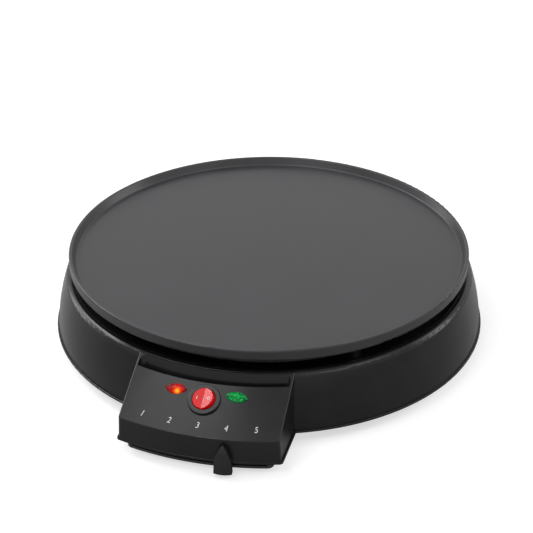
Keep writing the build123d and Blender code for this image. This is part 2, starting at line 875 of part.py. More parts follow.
with BuildPart() as rubber_feet:
    with Locations(ring_places(foot_circle_radius, foot_count, foot_first_azimuth, 0)):
        Cylinder(foot_radius, cover_bottom, align=(Align.CENTER, Align.CENTER, Align.MIN))
        with Locations((0, 0, cover_bottom)):
            Cylinder(foot_peg_radius, cover_thickness, align=(Align.CENTER, Align.CENTER, Align.MIN))
        with Locations((0, 0, cover_top)):
            Cylinder(
                foot_peg_head_radius, foot_peg_head_height, align=(Align.CENTER, Align.CENTER, Align.MIN)
            )
    chamfer(rubber_feet.edges().group_by(Axis.Z)[0], foot_edge)
write(rubber_feet, "rubber_feet")

with BuildPart() as cover_screws:
    with Locations(
        ring_places(cover_screw_circle_radius, cover_screw_count, cover_screw_first_azimuth, cover_bottom)
    ):
        screw(small_screw_radius, cover_thickness + cover_screw_reach)
write(cover_screws, "cover_screws")

# ---- heating element ----------------------------------------------------------
element_end_level = element_level - element_bend_radius - element_end_drop
with BuildPart() as heating_element:
    with BuildLine() as element_route:
        first_angle = 90 + element_gap_half_angle
        ring = CenterArc(
            (0, 0, element_level), element_ring_radius, first_angle, 360 - 2 * element_gap_half_angle
        )
        for end, heading in ((ring @ 0, -(ring % 0)), (ring @ 1, ring % 1)):
            half_bend = math.radians(45)
            middle = (
                end
                + heading * element_bend_radius * math.sin(half_bend)
                + Vector(0, 0, element_bend_radius * (math.cos(half_bend) - 1))
            )
            bottom = end + heading * element_bend_radius - Vector(0, 0, element_bend_radius)
            ThreePointArc(end, middle, bottom)
            Line(bottom, bottom - Vector(0, 0, element_end_drop - sleeve_length))
    path_start = element_route.wires()[0]
    with BuildSketch(Plane(origin=path_start @ 0, z_dir=path_start % 0)):
        Circle(element_tube_radius)
    sweep(path=path_start)
write(heating_element, "heating_element")

element_ends = []
for end, heading in ((ring @ 0, -(ring % 0)), (ring @ 1, ring % 1)):
    tip = end + heading * element_bend_radius
    element_ends.append((tip.X, tip.Y))
sleeve_top = element_end_level + sleeve_length

with BuildPart() as element_sleeves:
    with Locations(*[(x, y, sleeve_top) for x, y in element_ends]):
        Cylinder(sleeve_radius, sleeve_length, align=(Align.CENTER, Align.CENTER, Align.MAX))
        Cylinder(
            pin_radius + seat_clearance,
            sleeve_length,
            align=(Align.CENTER, Align.CENTER, Align.MAX),
            mode=Mode.SUBTRACT,
        )
write(element_sleeves, "element_sleeves")

with BuildPart() as element_pins:
    with Locations(*[(x, y, sleeve_top) for x, y in element_ends]):
        Cylinder(pin_radius, sleeve_length + pin_length, align=(Align.CENTER, Align.CENTER, Align.MAX))
write(element_pins, "element_pins")
pin_bottom = element_end_level - pin_length

rib_middle = element_tube_radius + element_play + rib_thickness / 2
strap_half_length = rib_middle + strap_end_margin
with BuildPart() as element_straps:
    for azimuth in strap_azimuths:
        with BuildSketch(level_plane(azimuth, element_ring_radius, rib_bottom)):
            SlotOverall(2 * strap_half_length, strap_width)
            with Locations((-rib_middle, 0), (rib_middle, 0)):
                Circle(small_screw_radius + screw_hole_clearance, mode=Mode.SUBTRACT)
        extrude(amount=-strap_thickness)
write(element_straps, "element_straps")

with BuildPart() as strap_screws:
    for azimuth in strap_azimuths:
        with Locations(level_plane(azimuth, element_ring_radius, rib_bottom - strap_thickness)):
            with Locations((-rib_middle, 0, 0), (rib_middle, 0, 0)):
                screw(small_screw_radius, strap_thickness + 5)
write(strap_screws, "strap_screws")

# ---- reflector and the plate's standoffs --------------------------------------
with BuildPart() as reflector_pan:
    with BuildSketch(Plane.XZ):
        pan_radius = ledge_inner_radius - body_clearance
        with BuildLine():
            Polyline(
                (reflector_opening_radius, reflector_floor),
                (pan_radius, reflector_floor),
                (pan_radius, ledge_top),
                (reflector_flange_radius, ledge_top),
                (reflector_flange_radius, ledge_top + reflector_thickness),
                (pan_radius - reflector_thickness, ledge_top + reflector_thickness),
                (pan_radius - reflector_thickness, reflector_floor + reflector_thickness),
                (reflector_opening_radius, reflector_floor + reflector_thickness),
                close=True,
            )
        make_face()
    revolve(axis=Axis.Z)
    with Locations(standoff_places):
        with Locations((0, 0, ledge_top)):
            Cylinder(large_screw_radius + screw_hole_clearance, 4 * wall, mode=Mode.SUBTRACT)
    with Locations(*[(x, y, reflector_floor) for x, y in element_ends]):
        Cylinder(sleeve_radius + body_clearance, 2 * wall, mode=Mode.SUBTRACT)
    with Locations(
        (fuse_offset - fuse_screw_offset, fuse_middle, reflector_floor),
        (fuse_offset + fuse_screw_offset, fuse_middle, reflector_floor),
    ):
        Cylinder(small_screw_radius + thread_bite, 2 * wall, mode=Mode.SUBTRACT)
write(reflector_pan, "reflector_pan")

with BuildPart() as insulating_washers:
    with Locations(standoff_places):
        with Locations((0, 0, ledge_top + reflector_thickness)):
            Cylinder(insulator_radius, insulator_thickness, align=(Align.CENTER, Align.CENTER, Align.MIN))
            Cylinder(large_screw_radius + screw_hole_clearance, 4 * wall, mode=Mode.SUBTRACT)
write(insulating_washers, "insulating_washers")

with BuildPart() as plate_standoffs:
    with Locations(standoff_places):
        with Locations((0, 0, standoff_bottom)):
            Cylinder(
                standoff_radius,
                standoff_top - standoff_bottom,
                align=(Align.CENTER, Align.CENTER, Align.MIN),
            )
            Cylinder(
                large_screw_radius + screw_hole_clearance,
                standoff_top - standoff_bottom,
                align=(Align.CENTER, Align.CENTER, Align.MIN),
                mode=Mode.SUBTRACT,
            )
write(plate_standoffs, "plate_standoffs")

with BuildPart() as standoff_screws:
    with Locations(standoff_places):
        with Locations((0, 0, ledge_bottom)):
            screw(large_screw_radius, standoff_top + standoff_boss_height - ledge_bottom)
write(standoff_screws, "standoff_screws")

# ---- thermostat ---------------------------------------------------------------
thermostat_tabs = [(-thermostat_tab_offset, 0), (thermostat_tab_offset, 0)]
with BuildPart() as thermostat_body:
    with Locations((0, 0, bracket_top)):
        Cylinder(
            thermostat_upper_radius, thermostat_upper_height, align=(Align.CENTER, Align.CENTER, Align.MIN)
        )
        Cylinder(
            thermostat_lower_radius, thermostat_lower_height, align=(Align.CENTER, Align.CENTER, Align.MAX)
        )
    with Locations((0, 0, thermostat_bottom)):
        Cylinder(
            spindle_radius + running_clearance,
            spindle_socket_depth,
            align=(Align.CENTER, Align.CENTER, Align.MIN),
            mode=Mode.SUBTRACT,
        )
    with Locations(*[(x, y, thermostat_bottom) for x, y in thermostat_tabs]):
        Box(
            tab_thickness,
            thermostat_tab_width,
            tab_seat,
            align=(Align.CENTER, Align.CENTER, Align.MIN),
            mode=Mode.SUBTRACT,
        )
write(thermostat_body, "thermostat_body")

with BuildPart() as thermostat_terminals:
    with Locations(*[(x, y, thermostat_bottom + tab_seat) for x, y in thermostat_tabs]):
        Box(
            tab_thickness,
            thermostat_tab_width,
            thermostat_tab_length,
            align=(Align.CENTER, Align.CENTER, Align.MAX),
        )
write(thermostat_terminals, "thermostat_terminals")
thermostat_tab_bottom = thermostat_bottom + tab_seat - thermostat_tab_length

with BuildPart() as thermostat_bracket:
    with BuildSketch(Plane.XY.offset(bracket_top)):
        SlotOverall(2 * (bracket_post_offset + bracket_end_margin), bracket_width)
        Circle(bracket_eye_radius)
        Circle(thermostat_lower_radius + seat_clearance, mode=Mode.SUBTRACT)
        with Locations((-bracket_post_offset, 0), (bracket_post_offset, 0)):
            Circle(small_screw_radius + screw_hole_clearance, mode=Mode.SUBTRACT)
    extrude(amount=-bracket_thickness)
write(thermostat_bracket, "thermostat_bracket")

with BuildPart() as bracket_screws:
    with Locations(
        (-bracket_post_offset, 0, bracket_top - bracket_thickness),
        (bracket_post_offset, 0, bracket_top - bracket_thickness),
    ):
        screw(small_screw_radius, bracket_thickness + 5)
write(bracket_screws, "bracket_screws")

# ---- temperature lever --------------------------------------------------------
spindle_top = thermostat_bottom + spindle_socket_depth - body_clearance
with BuildPart() as thermostat_spindle:
    with Locations((0, 0, lever_bottom)):
        Cylinder(spindle_radius, spindle_top - lever_bottom, align=(Align.CENTER, Align.CENTER, Align.MIN))
    with Locations(level_plane(lever_azimuth, spindle_flat, lever_bottom)):
        Box(
            2 * spindle_radius,
            4 * spindle_radius,
            lever_thickness,
            align=(Align.MIN, Align.CENTER, Align.MIN),
            mode=Mode.SUBTRACT,
        )
    with Locations((0, 0, lever_bottom)):
        Cylinder(
            small_screw_radius + thread_bite,
            7,
            align=(Align.CENTER, Align.CENTER, Align.MIN),
            mode=Mode.SUBTRACT,
        )
write(thermostat_spindle, "thermostat_spindle")

pointer_inner_radius = console_front_radius + bead_front_reach + body_clearance / 2
lever_tip_radius = pointer_inner_radius + pointer_socket_depth - 0.1
with BuildPart() as lever_arm:
    with BuildSketch(level_plane(lever_azimuth, 0, lever_bottom)):
        Circle(lever_hub_radius)
        with Locations((0, 0)):
            Rectangle(
                lever_tip_radius - lever_neck_length,
                lever_width,
                align=(Align.MIN, Align.CENTER),
            )
            Rectangle(lever_tip_radius, lever_neck_width, align=(Align.MIN, Align.CENTER))
        with BuildLine():
            hole_radius = spindle_radius + running_clearance
            hole_half = math.sqrt(hole_radius**2 - (spindle_flat + running_clearance) ** 2)
            flat_x = spindle_flat + running_clearance
            ThreePointArc((flat_x, hole_half), (-hole_radius, 0), (flat_x, -hole_half))
            Line((flat_x, -hole_half), (flat_x, hole_half))
        make_face(mode=Mode.SUBTRACT)
    extrude(amount=lever_thickness)
write(lever_arm, "lever_arm")

with BuildPart() as lever_screw:
    with Locations((0, 0, lever_bottom)):
        screw(small_screw_radius, 6)
    with Locations((0, 0, lever_bottom)):
        Cylinder(
            spindle_radius + 1.2, 0.5, align=(Align.CENTER, Align.CENTER, Align.MAX)
        )
write(lever_screw, "lever_screw")

with BuildPart() as lever_pointer:
    with BuildSketch(facing_plane(lever_azimuth, pointer_inner_radius, pointer_base_height)):
        with BuildLine():
            half_base, half_shoulder = pointer_width / 2, pointer_shoulder_width / 2
            arch_height = pointer_height - pointer_shoulder_height
            arch_middle = (0.76 * half_shoulder, pointer_shoulder_height + 0.52 * arch_height)
            Polyline(
                (-half_shoulder, pointer_shoulder_height),
                (-half_base, 0),
                (half_base, 0),
                (half_shoulder, pointer_shoulder_height),
            )
            ThreePointArc((half_shoulder, pointer_shoulder_height), arch_middle, (0, pointer_height))
            ThreePointArc(
                (0, pointer_height),
                (-arch_middle[0], arch_middle[1]),
                (-half_shoulder, pointer_shoulder_height),
            )
        make_face()
    extrude(amount=pointer_depth)
    pointer_bow = 0.72 * (pointer_depth - pointer_edge_depth)
    with BuildSketch(
        Plane(
            origin=outward(lever_azimuth) * pointer_inner_radius + Vector(0, 0, pointer_base_height),
            x_dir=-across(lever_azimuth),
        )
    ):
        with BuildLine():
            Polyline(
                (half_base, pointer_edge_depth),
                (half_base, 0),
                (-half_base, 0),
                (-half_base, pointer_edge_depth),
            )
            ThreePointArc(
                (-half_base, pointer_edge_depth),
                (-0.55 * half_base, pointer_edge_depth + pointer_bow),
                (0, pointer_depth),
            )
            ThreePointArc(
                (0, pointer_depth),
                (0.55 * half_base, pointer_edge_depth + pointer_bow),
                (half_base, pointer_edge_depth),
            )
        make_face()
    extrude(amount=pointer_height, mode=Mode.INTERSECT)
    with BuildSketch(section_plane(lever_azimuth)):
        with BuildLine():
            front_face = pointer_inner_radius + pointer_depth
            pointer_top_level = pointer_base_height + pointer_height
            Polyline(
                (pointer_inner_radius + pointer_tip_depth, pointer_top_level),
                (pointer_inner_radius, pointer_top_level),
                (pointer_inner_radius, pointer_base_height),
                (front_face, pointer_base_height),
                (front_face, pointer_base_height + pointer_shoulder_height),
            )
            ThreePointArc(
                (front_face, pointer_base_height + pointer_shoulder_height),
                (front_face - 0.22 * pointer_depth, pointer_base_height + 0.8 * pointer_height),
                (pointer_inner_radius + pointer_tip_depth, pointer_top_level),
            )
        make_face()
    extrude(amount=pointer_width, both=True, mode=Mode.INTERSECT)
    with Locations(level_plane(lever_azimuth, pointer_inner_radius, lever_bottom - seat_clearance / 2)):
        Box(
            pointer_socket_depth,
            lever_neck_width + seat_clearance,
            lever_thickness + seat_clearance,
            align=(Align.MIN, Align.CENTER, Align.MIN),
            mode=Mode.SUBTRACT,
        )
write(lever_pointer, "lever_pointer")

with BuildPart() as spindle_guide:
    with BuildSketch(Plane.XY.offset(guide_bottom)):
        SlotOverall(2 * (guide_post_offset + guide_width / 2), guide_width)
        with Locations((-guide_post_offset, 0), (guide_post_offset, 0)):
            Circle(small_screw_radius + screw_hole_clearance, mode=Mode.SUBTRACT)
    extrude(amount=guide_thickness)
    with Locations((0, 0, guide_bottom)):
        Cylinder(guide_boss_radius, guide_boss_length, align=(Align.CENTER, Align.CENTER, Align.MAX))
        Cylinder(spindle_radius + running_clearance, 4 * guide_boss_length, mode=Mode.SUBTRACT)
write(spindle_guide, "spindle_guide")

with BuildPart() as guide_screws:
    guide_top = guide_bottom + guide_thickness
    with Locations(
        turned_over(-guide_post_offset, 0, guide_top), turned_over(guide_post_offset, 0, guide_top)
    ):
        screw(small_screw_radius, guide_thickness + 4)
write(guide_screws, "guide_screws")

# ---- rocker switch ------------------------------------------------------------
with BuildPart() as switch_body:
    with Locations(switch_plane.offset(-seat_clearance)):
        Cylinder(
            bezel_radius, bezel_height + seat_clearance, align=(Align.CENTER, Align.CENTER, Align.MIN)
        )
    fillet(switch_body.edges().filter_by(GeomType.CIRCLE).sort_by(Axis.Z)[-1], bezel_round)
    with Locations(switch_plane.offset(bezel_height - bezel_round)):
        Cylinder(
            switch_barrel_radius,
            switch_barrel_depth + bezel_height - bezel_round,
            align=(Align.CENTER, Align.CENTER, Align.MAX),
        )
    with Locations(switch_plane.offset(bezel_height)):
        Cylinder(
            rocker_bore_radius,
            switch_barrel_depth - switch_floor + bezel_height,
            align=(Align.CENTER, Align.CENTER, Align.MAX),
            mode=Mode.SUBTRACT,
        )
    with Locations(rocker_pivot):
        Cylinder(
            trunnion_radius + running_clearance,
            2 * (rocker_bore_radius + trunnion_seat + running_clearance),
            rotation=(90, 0, 0),
            mode=Mode.SUBTRACT,
        )
    with Locations(switch_plane.offset(-switch_barrel_depth)):
        with Locations((0, 0, 0), (fixed_contact_offset, 0, 0)):
            Box(
                tab_thickness,
                switch_tab_width,
                switch_floor,
                align=(Align.CENTER, Align.CENTER, Align.MIN),
                mode=Mode.SUBTRACT,
            )
write(switch_body, "switch_body")

# The rocker rests with its left side pressed, so it is drawn level and turned by its tilt.
rocker_plane = turned(rocker_pivot, -rocker_tilt)
rocker_side = Plane(origin=rocker_plane.origin, x_dir=rocker_plane.x_dir, z_dir=-rocker_plane.y_dir)
plunger_reach = contact_pivot_depth + rocker_pivot_height - contact_hub_radius - plunger_gap
with BuildPart() as switch_rocker:
    with Locations(rocker_plane):
        Sphere(rocker_radius)
    with BuildSketch(rocker_side):
        with BuildLine():
            rise = rocker_radius * math.tan(math.radians(rocker_tilt))
            Polyline(
                (-rocker_radius, -rocker_bottom_depth),
                (rocker_radius, -rocker_bottom_depth),
                (rocker_radius, rocker_crown_height + rise),
                (0, rocker_crown_height),
                (-rocker_radius, rocker_crown_height + rise),
                close=True,
            )
        make_face()
    extrude(amount=rocker_radius, both=True, mode=Mode.INTERSECT)
    with Locations(rocker_plane):
        Cylinder(trunnion_radius, 2 * (rocker_bore_radius + trunnion_seat - 0.1), rotation=(90, 0, 0))
        Cylinder(plunger_radius, plunger_reach, align=(Align.CENTER, Align.CENTER, Align.MAX))
write(switch_rocker, "switch_rocker")

with BuildPart() as switch_contact:
    with Locations(turned(contact_pivot, contact_tilt)):
        Box(contact_length, contact_width, contact_thickness)
        Cylinder(contact_hub_radius, contact_width, rotation=(90, 0, 0))
write(switch_contact, "switch_contact")

fixed_contact_drop = fixed_contact_offset * math.sin(math.radians(contact_tilt)) + contact_thickness / 2
fixed_contact_depth = contact_pivot_depth + fixed_contact_drop + contact_play + 0.15
pivot_post_depth = contact_pivot_depth + contact_hub_radius + contact_play
switch_tab_end = switch_barrel_depth + switch_tab_length
with BuildPart() as switch_terminals:
    for offset, depth in ((0, pivot_post_depth), (fixed_contact_offset, fixed_contact_depth)):
        with Locations(switch_plane.offset(-depth)):
            with Locations((offset, 0, 0)):
                Box(
                    tab_thickness,
                    switch_tab_width,
                    switch_tab_end - depth,
                    align=(Align.CENTER, Align.CENTER, Align.MAX),
                )
write(switch_terminals, "switch_terminals")

# ---- lamps --------------------------------------------------------------------
flange_top = -wall - seat_clearance
flange_bottom = flange_top - lens_flange


def lens(plane):
    """A lamp's lens: a pointed oval window with a flange under the panel and a pocket for the lamp."""
    with BuildPart() as window:
        with BuildSketch(plane.offset(flange_bottom)):
            pointed_oval(lens_length, lens_width)
        extrude(amount=lens_proud - flange_bottom)
        crown = window.faces().sort_by_distance(plane.offset(lens_proud).origin)[0]
        fillet(crown.edges(), lens_round)
        with BuildSketch(plane.offset(flange_bottom)):
            pointed_oval(lens_length + 3 * lens_flange, lens_width + 2 * lens_flange)
        extrude(amount=lens_flange)
        with Locations(plane.offset(flange_bottom)):
            Box(
                lens_pocket_length,
                lens_pocket_width,
                -flange_bottom - lens_pocket_roof,
                align=(Align.CENTER, Align.CENTER, Align.MIN),
                mode=Mode.SUBTRACT,
            )
    return window


red_lens = lens(lamp_planes[0])
write(red_lens, "red_lens")
green_lens = lens(lamp_planes[1])
write(green_lens, "green_lens")

with BuildPart() as lamp_holders:
    for lamp_plane in lamp_planes:
        with BuildSketch(lamp_plane.offset(flange_bottom)):
            pointed_oval(lens_length + 2 * lens_flange, lens_width + lens_flange)
        extrude(amount=-holder_height)
        with Locations(lamp_plane.offset(flange_bottom)):
            Box(
                lens_pocket_length,
                lens_pocket_width,
                neon_radius + seat_clearance,
                align=(Align.CENTER, Align.CENTER, Align.MAX),
                mode=Mode.SUBTRACT,
            )
write(lamp_holders, "lamp_holders")

with BuildPart() as neon_lamps:
    for lamp_plane in lamp_planes:
        with Locations(lamp_plane.offset(flange_bottom)):
            Cylinder(neon_radius, neon_length, rotation=(0, 90, 0))
    fillet(neon_lamps.edges().filter_by(GeomType.CIRCLE), neon_radius / 2)
write(neon_lamps, "neon_lamps")

# ---- mains side ---------------------------------------------------------------
with BuildPart() as cord_bushing:
    with Locations(facing_plane(180, inlet_face, inlet_height)):
        Cylinder(
            bushing_flange_radius, bushing_flange_thickness, align=(Align.CENTER, Align.CENTER, Align.MIN)
        )
    fillet(cord_bushing.edges().filter_by(GeomType.CIRCLE).sort_by(Axis.Y)[-1], bezel_round)
    barrel_width = inlet_hole_width - 2 * seat_clearance
    with BuildSketch(facing_plane(180, inlet_face, inlet_height)):
        RectangleRounded(barrel_width, barrel_width, inlet_hole_corner)
    extrude(amount=-inlet_pad_thickness - bushing_collar_thickness - bushing_tail)
    with BuildSketch(facing_plane(180, inlet_face - inlet_pad_thickness, inlet_height)):
        RectangleRounded(bushing_collar_width, bushing_collar_width, inlet_hole_corner)
    extrude(amount=-bushing_collar_thickness)
    with Locations(facing_plane(180, inlet_face, inlet_height)):
        Cylinder(
            cord_bore_radius, 4 * (inlet_pad_thickness + bushing_collar_thickness), mode=Mode.SUBTRACT
        )
write(cord_bushing, "cord_bushing")

clamp_post_top = inlet_height + cord_bore_radius
with BuildPart() as cord_saddle:
    with Locations(
        (-clamp_post_offset, clamp_distance, cover_top),
        (clamp_post_offset, clamp_distance, cover_top),
    ):
        Cylinder(
            clamp_post_radius, clamp_post_top - cover_top, align=(Align.CENTER, Align.CENTER, Align.MIN)
        )
    with Locations((0, clamp_distance, cover_top)):
        Box(
            2 * (clamp_post_offset - clamp_post_radius) + 1,
            clamp_bar_width / 2,
            inlet_height - cord_bore_radius - cover_top,
            align=(Align.CENTER, Align.CENTER, Align.MIN),
        )
    with Locations((-clamp_post_offset, clamp_distance), (clamp_post_offset, clamp_distance)):
        Cylinder(small_screw_radius + thread_bite, 3 * clamp_post_top, mode=Mode.SUBTRACT)
write(cord_saddle, "cord_saddle")

with BuildPart() as cord_clamp:
    with BuildSketch(Plane(origin=(0, clamp_distance, clamp_post_top), x_dir=(1, 0, 0))):
        SlotOverall(2 * clamp_post_offset + clamp_bar_width, clamp_bar_width)
        with Locations((-clamp_post_offset, 0), (clamp_post_offset, 0)):
            Circle(small_screw_radius + screw_hole_clearance, mode=Mode.SUBTRACT)
    extrude(amount=clamp_bar_thickness)
write(cord_clamp, "cord_clamp")

with BuildPart() as clamp_screws:
    clamp_top = clamp_post_top + clamp_bar_thickness
    with Locations(
        turned_over(-clamp_post_offset, clamp_distance, clamp_top),
        turned_over(clamp_post_offset, clamp_distance, clamp_top),
    ):
        screw(small_screw_radius, clamp_bar_thickness + clamp_screw_reach)
    with Locations(
        (-clamp_post_offset, clamp_distance, cover_bottom),
        (clamp_post_offset, clamp_distance, cover_bottom),
    ):
        screw(small_screw_radius, cover_thickness + clamp_screw_reach)
write(clamp_screws, "clamp_screws")

pole_offsets = [-block_pitch, 0, block_pitch]
block_front = block_distance - block_width / 2
entry_level = cover_top + block_entry_height
with BuildPart() as terminal_block:
    with Locations((0, block_distance, cover_top)):
        Box(block_length, block_width, block_height, align=(Align.CENTER, Align.CENTER, Align.MIN))
    for edge_side in (-1, 1):
        with Locations((edge_side * block_pitch / 2, block_distance, cover_top + block_height)):
            Box(
                tab_thickness,
                block_width,
                block_height / 3,
                align=(Align.CENTER, Align.CENTER, Align.MAX),
                mode=Mode.SUBTRACT,
            )
    for face_side in (-1, 1):
        face_distance = block_distance + face_side * block_width / 2
        with Locations(*[(x, face_distance, entry_level) for x in pole_offsets]):
            Cylinder(
                lead_hole_radius,
                2 * block_entry_depth,
                rotation=(90, 0, 0),
                mode=Mode.SUBTRACT,
            )
        with Locations(
            *[
                (x, block_distance + face_side * block_width / 4, cover_top + block_height)
                for x in pole_offsets
            ]
        ):
            Cylinder(
                large_screw_radius + seat_clearance,
                block_height / 3,
                align=(Align.CENTER, Align.CENTER, Align.MAX),
                mode=Mode.SUBTRACT,
            )
write(terminal_block, "terminal_block")

with BuildPart() as terminal_screws:
    for face_side in (-1, 1):
        with Locations(
            *[
                (x, block_distance + face_side * block_width / 4, cover_top + 2 * block_height / 3)
                for x in pole_offsets
            ]
        ):
            Cylinder(large_screw_radius, block_height / 5, align=(Align.CENTER, Align.CENTER, Align.MIN))
            with Locations((0, 0, block_height / 5)):
                Box(
                    2 * large_screw_radius,
                    0.25 * large_screw_radius,
                    0.5 * large_screw_radius,
                    align=(Align.CENTER, Align.CENTER, Align.MAX),
                    mode=Mode.SUBTRACT,
                )
write(terminal_screws, "terminal_screws")

earth_tab_distance = earth_post_distance + plate_post_radius + tab_thickness
with BuildPart() as earth_tag:
    with BuildSketch(Plane(origin=(0, earth_post_distance, bracket_top))):
        Circle(plate_post_radius)
        Rectangle(
            thermostat_tab_width,
            earth_tab_distance - earth_post_distance,
            align=(Align.CENTER, Align.MIN),
        )
        Circle(small_screw_radius + screw_hole_clearance, mode=Mode.SUBTRACT)
    extrude(amount=-tab_thickness)
    with Locations((0, earth_tab_distance, bracket_top)):
        Box(
            thermostat_tab_width,
            tab_thickness,
            earth_tag_length,
            align=(Align.CENTER, Align.MAX, Align.MAX),
        )
write(earth_tag, "earth_tag")

with BuildPart() as earth_screw:
    with Locations((0, earth_post_distance, bracket_top - tab_thickness)):
        screw(small_screw_radius, tab_thickness + 5)
write(earth_screw, "earth_screw")

fuse_level = reflector_floor - fuse_sleeve_radius - seat_clearance
fuse_ends = [(fuse_offset, fuse_middle + side * fuse_sleeve_length / 2, fuse_level) for side in (-1, 1)]
with BuildPart() as thermal_fuse:
    with Locations((fuse_offset, fuse_middle, fuse_level)):
        Cylinder(fuse_sleeve_radius, fuse_sleeve_length, rotation=(90, 0, 0))
        Cylinder(
            lead_radius + seat_clearance,
            fuse_sleeve_length,
            rotation=(90, 0, 0),
            mode=Mode.SUBTRACT,
        )
        Cylinder(lead_radius + seat_clearance, fuse_sleeve_length / 3, rotation=(90, 0, 0))
write(thermal_fuse, "thermal_fuse")

with BuildPart() as fuse_strap:
    strap_radius = fuse_sleeve_radius + seat_clearance
    strap_plane = Plane(
        origin=(fuse_offset, fuse_middle - fuse_strap_width / 2, reflector_floor),
        x_dir=(1, 0, 0),
        z_dir=(0, 1, 0),
    )
    with BuildSketch(strap_plane):
        # Local y points down on this plane.
        drop = reflector_floor - fuse_level
        with Locations((0, drop)):
            Circle(strap_radius + fuse_strap_thickness)
        Rectangle(
            2 * (strap_radius + fuse_strap_thickness), drop, align=(Align.CENTER, Align.MIN)
        )
        Rectangle(
            2 * (strap_radius + fuse_strap_foot), fuse_strap_thickness, align=(Align.CENTER, Align.MIN)
        )
        with Locations((0, drop)):
            Circle(strap_radius, mode=Mode.SUBTRACT)
        Rectangle(2 * strap_radius, drop, align=(Align.CENTER, Align.MIN), mode=Mode.SUBTRACT)
        Rectangle(
            4 * fuse_strap_foot, 2 * fuse_strap_foot, align=(Align.CENTER, Align.MIN), mode=Mode.INTERSECT
        )
    extrude(amount=fuse_strap_width)
    with Locations(
        (fuse_offset - fuse_screw_offset, fuse_middle, reflector_floor),
        (fuse_offset + fuse_screw_offset, fuse_middle, reflector_floor),
    ):
        Cylinder(
            small_screw_radius + screw_hole_clearance,
            4 * fuse_strap_thickness,
            mode=Mode.SUBTRACT,
        )
write(fuse_strap, "fuse_strap")

with BuildPart() as fuse_strap_screws:
    with Locations(
        (
            fuse_offset - fuse_screw_offset,
            fuse_middle,
            reflector_floor - fuse_strap_thickness,
        ),
        (
            fuse_offset + fuse_screw_offset,
            fuse_middle,
            reflector_floor - fuse_strap_thickness,
        ),
    ):
        screw(small_screw_radius, fuse_strap_thickness + reflector_thickness + 1)
write(fuse_strap_screws, "fuse_strap_screws")

# ---- internal leads -----------------------------------------------------------
floor_run = cover_top + lead_radius  # the height of a lead that lies on the cover


def lead(points):
    """An insulated lead along a route of straight runs joined by tangent arcs."""
    with BuildPart() as tube:
        with BuildLine() as route:
            FilletPolyline(*points, radius=bend_radii(points))
        with BuildSketch(Plane(origin=route.line @ 0, z_dir=route.line % 0)):
            Circle(lead_radius)
        sweep()
    return tube


def under_switch(offset, drop):
    """A point below one of the switch's tabs."""
    return tuple(switch_plane.from_local_coords(Vector(offset, 0, -switch_tab_end - drop)))


block_entry = block_front + block_entry_depth - 0.3
tag_foot = bracket_top - earth_tag_length
tag_y = earth_tab_distance - tab_thickness / 2
live_lead = lead(
    [
        (-block_pitch, block_entry, entry_level),
        (-block_pitch, block_front - 10, entry_level),
        (-30, 88, 14),
        (-56, 52, floor_run),
        (-68, 4, floor_run),
        (-68, -52, floor_run + 0.2),
        (-60, -104, floor_run),
        (-40, -140, 15.5),
        (-16, -158, 16),
        under_switch(0, 10),
        under_switch(0, 0),
    ]
)
write(live_lead, "live_lead")

switched_lead = lead(
    [
        under_switch(fixed_contact_offset, 0),
        under_switch(fixed_contact_offset, 10),
        (22, -157, 17),
        (44, -138, 15.5),
        (60, -100, floor_run),
        (62, -56, floor_run),
        (48, -26, 16),
        (28, -12, 20.5),
        (thermostat_tab_offset, 0, thermostat_tab_bottom - 13),
        (thermostat_tab_offset, 0, thermostat_tab_bottom),
    ]
)
write(switched_lead, "switched_lead")

element_lead = lead(
    [
        (-thermostat_tab_offset, 0, thermostat_tab_bottom),
        (-thermostat_tab_offset, 0, thermostat_tab_bottom - 13),
        (-24, 18, 22),
        (-30, 50, 20),
        (-26, 74, 14.5),
        (element_ends[0][0], element_ends[0][1], pin_bottom - 11.5),
        (element_ends[0][0], element_ends[0][1], pin_bottom),
    ]
)
write(element_lead, "element_lead")

fuse_lead = lead(
    [
        (element_ends[1][0], element_ends[1][1], pin_bottom),
        (element_ends[1][0], element_ends[1][1], pin_bottom - 10.6),
        (26, 103, 14.2),
        (41, 110, 26.5),
        (fuse_offset, 104, 36.5),
        (fuse_offset, 90, fuse_level),
        (fuse_offset, fuse_ends[1][1] - 4, fuse_level),
    ]
)
write(fuse_lead, "fuse_lead")

neutral_lead = lead(
    [
        (fuse_offset, fuse_ends[0][1] + 4, fuse_level),
        (fuse_offset, fuse_ends[0][1] - 10, fuse_level),
        (54, 16, 34),
        (68, 8, 24),
        (80, 18, 15),
        (84, 46, floor_run),
        (70, 80, floor_run),
        (42, 96, 15),
        (24, 95, 18),
        (block_pitch, block_front - 10, entry_level),
        (block_pitch, block_entry, entry_level),
    ]
)
write(neutral_lead, "neutral_lead")

earth_lead = lead(
    [
        (0, block_entry, entry_level),
        (0, block_front - 9, entry_level),
        (3, 79, 20),
        (-2, 52, 22.5),
        (0, tag_y, tag_foot - earth_lead_drop),
        (0, tag_y, tag_foot),
    ]
)
write(earth_lead, "earth_lead")
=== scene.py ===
"""Looks of an electric crepe maker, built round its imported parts.

All lengths are in metres. The origin is on the plate's axis at the height of the table, +Z is up and
the control console points along -Y. An azimuth is measured about +Z from the front towards +X.
"""

import json
import logging
import math
from dataclasses import dataclass, field
from enum import Enum
from typing import Any, Union

import bmesh
import bpy
from mathutils import Matrix, Vector


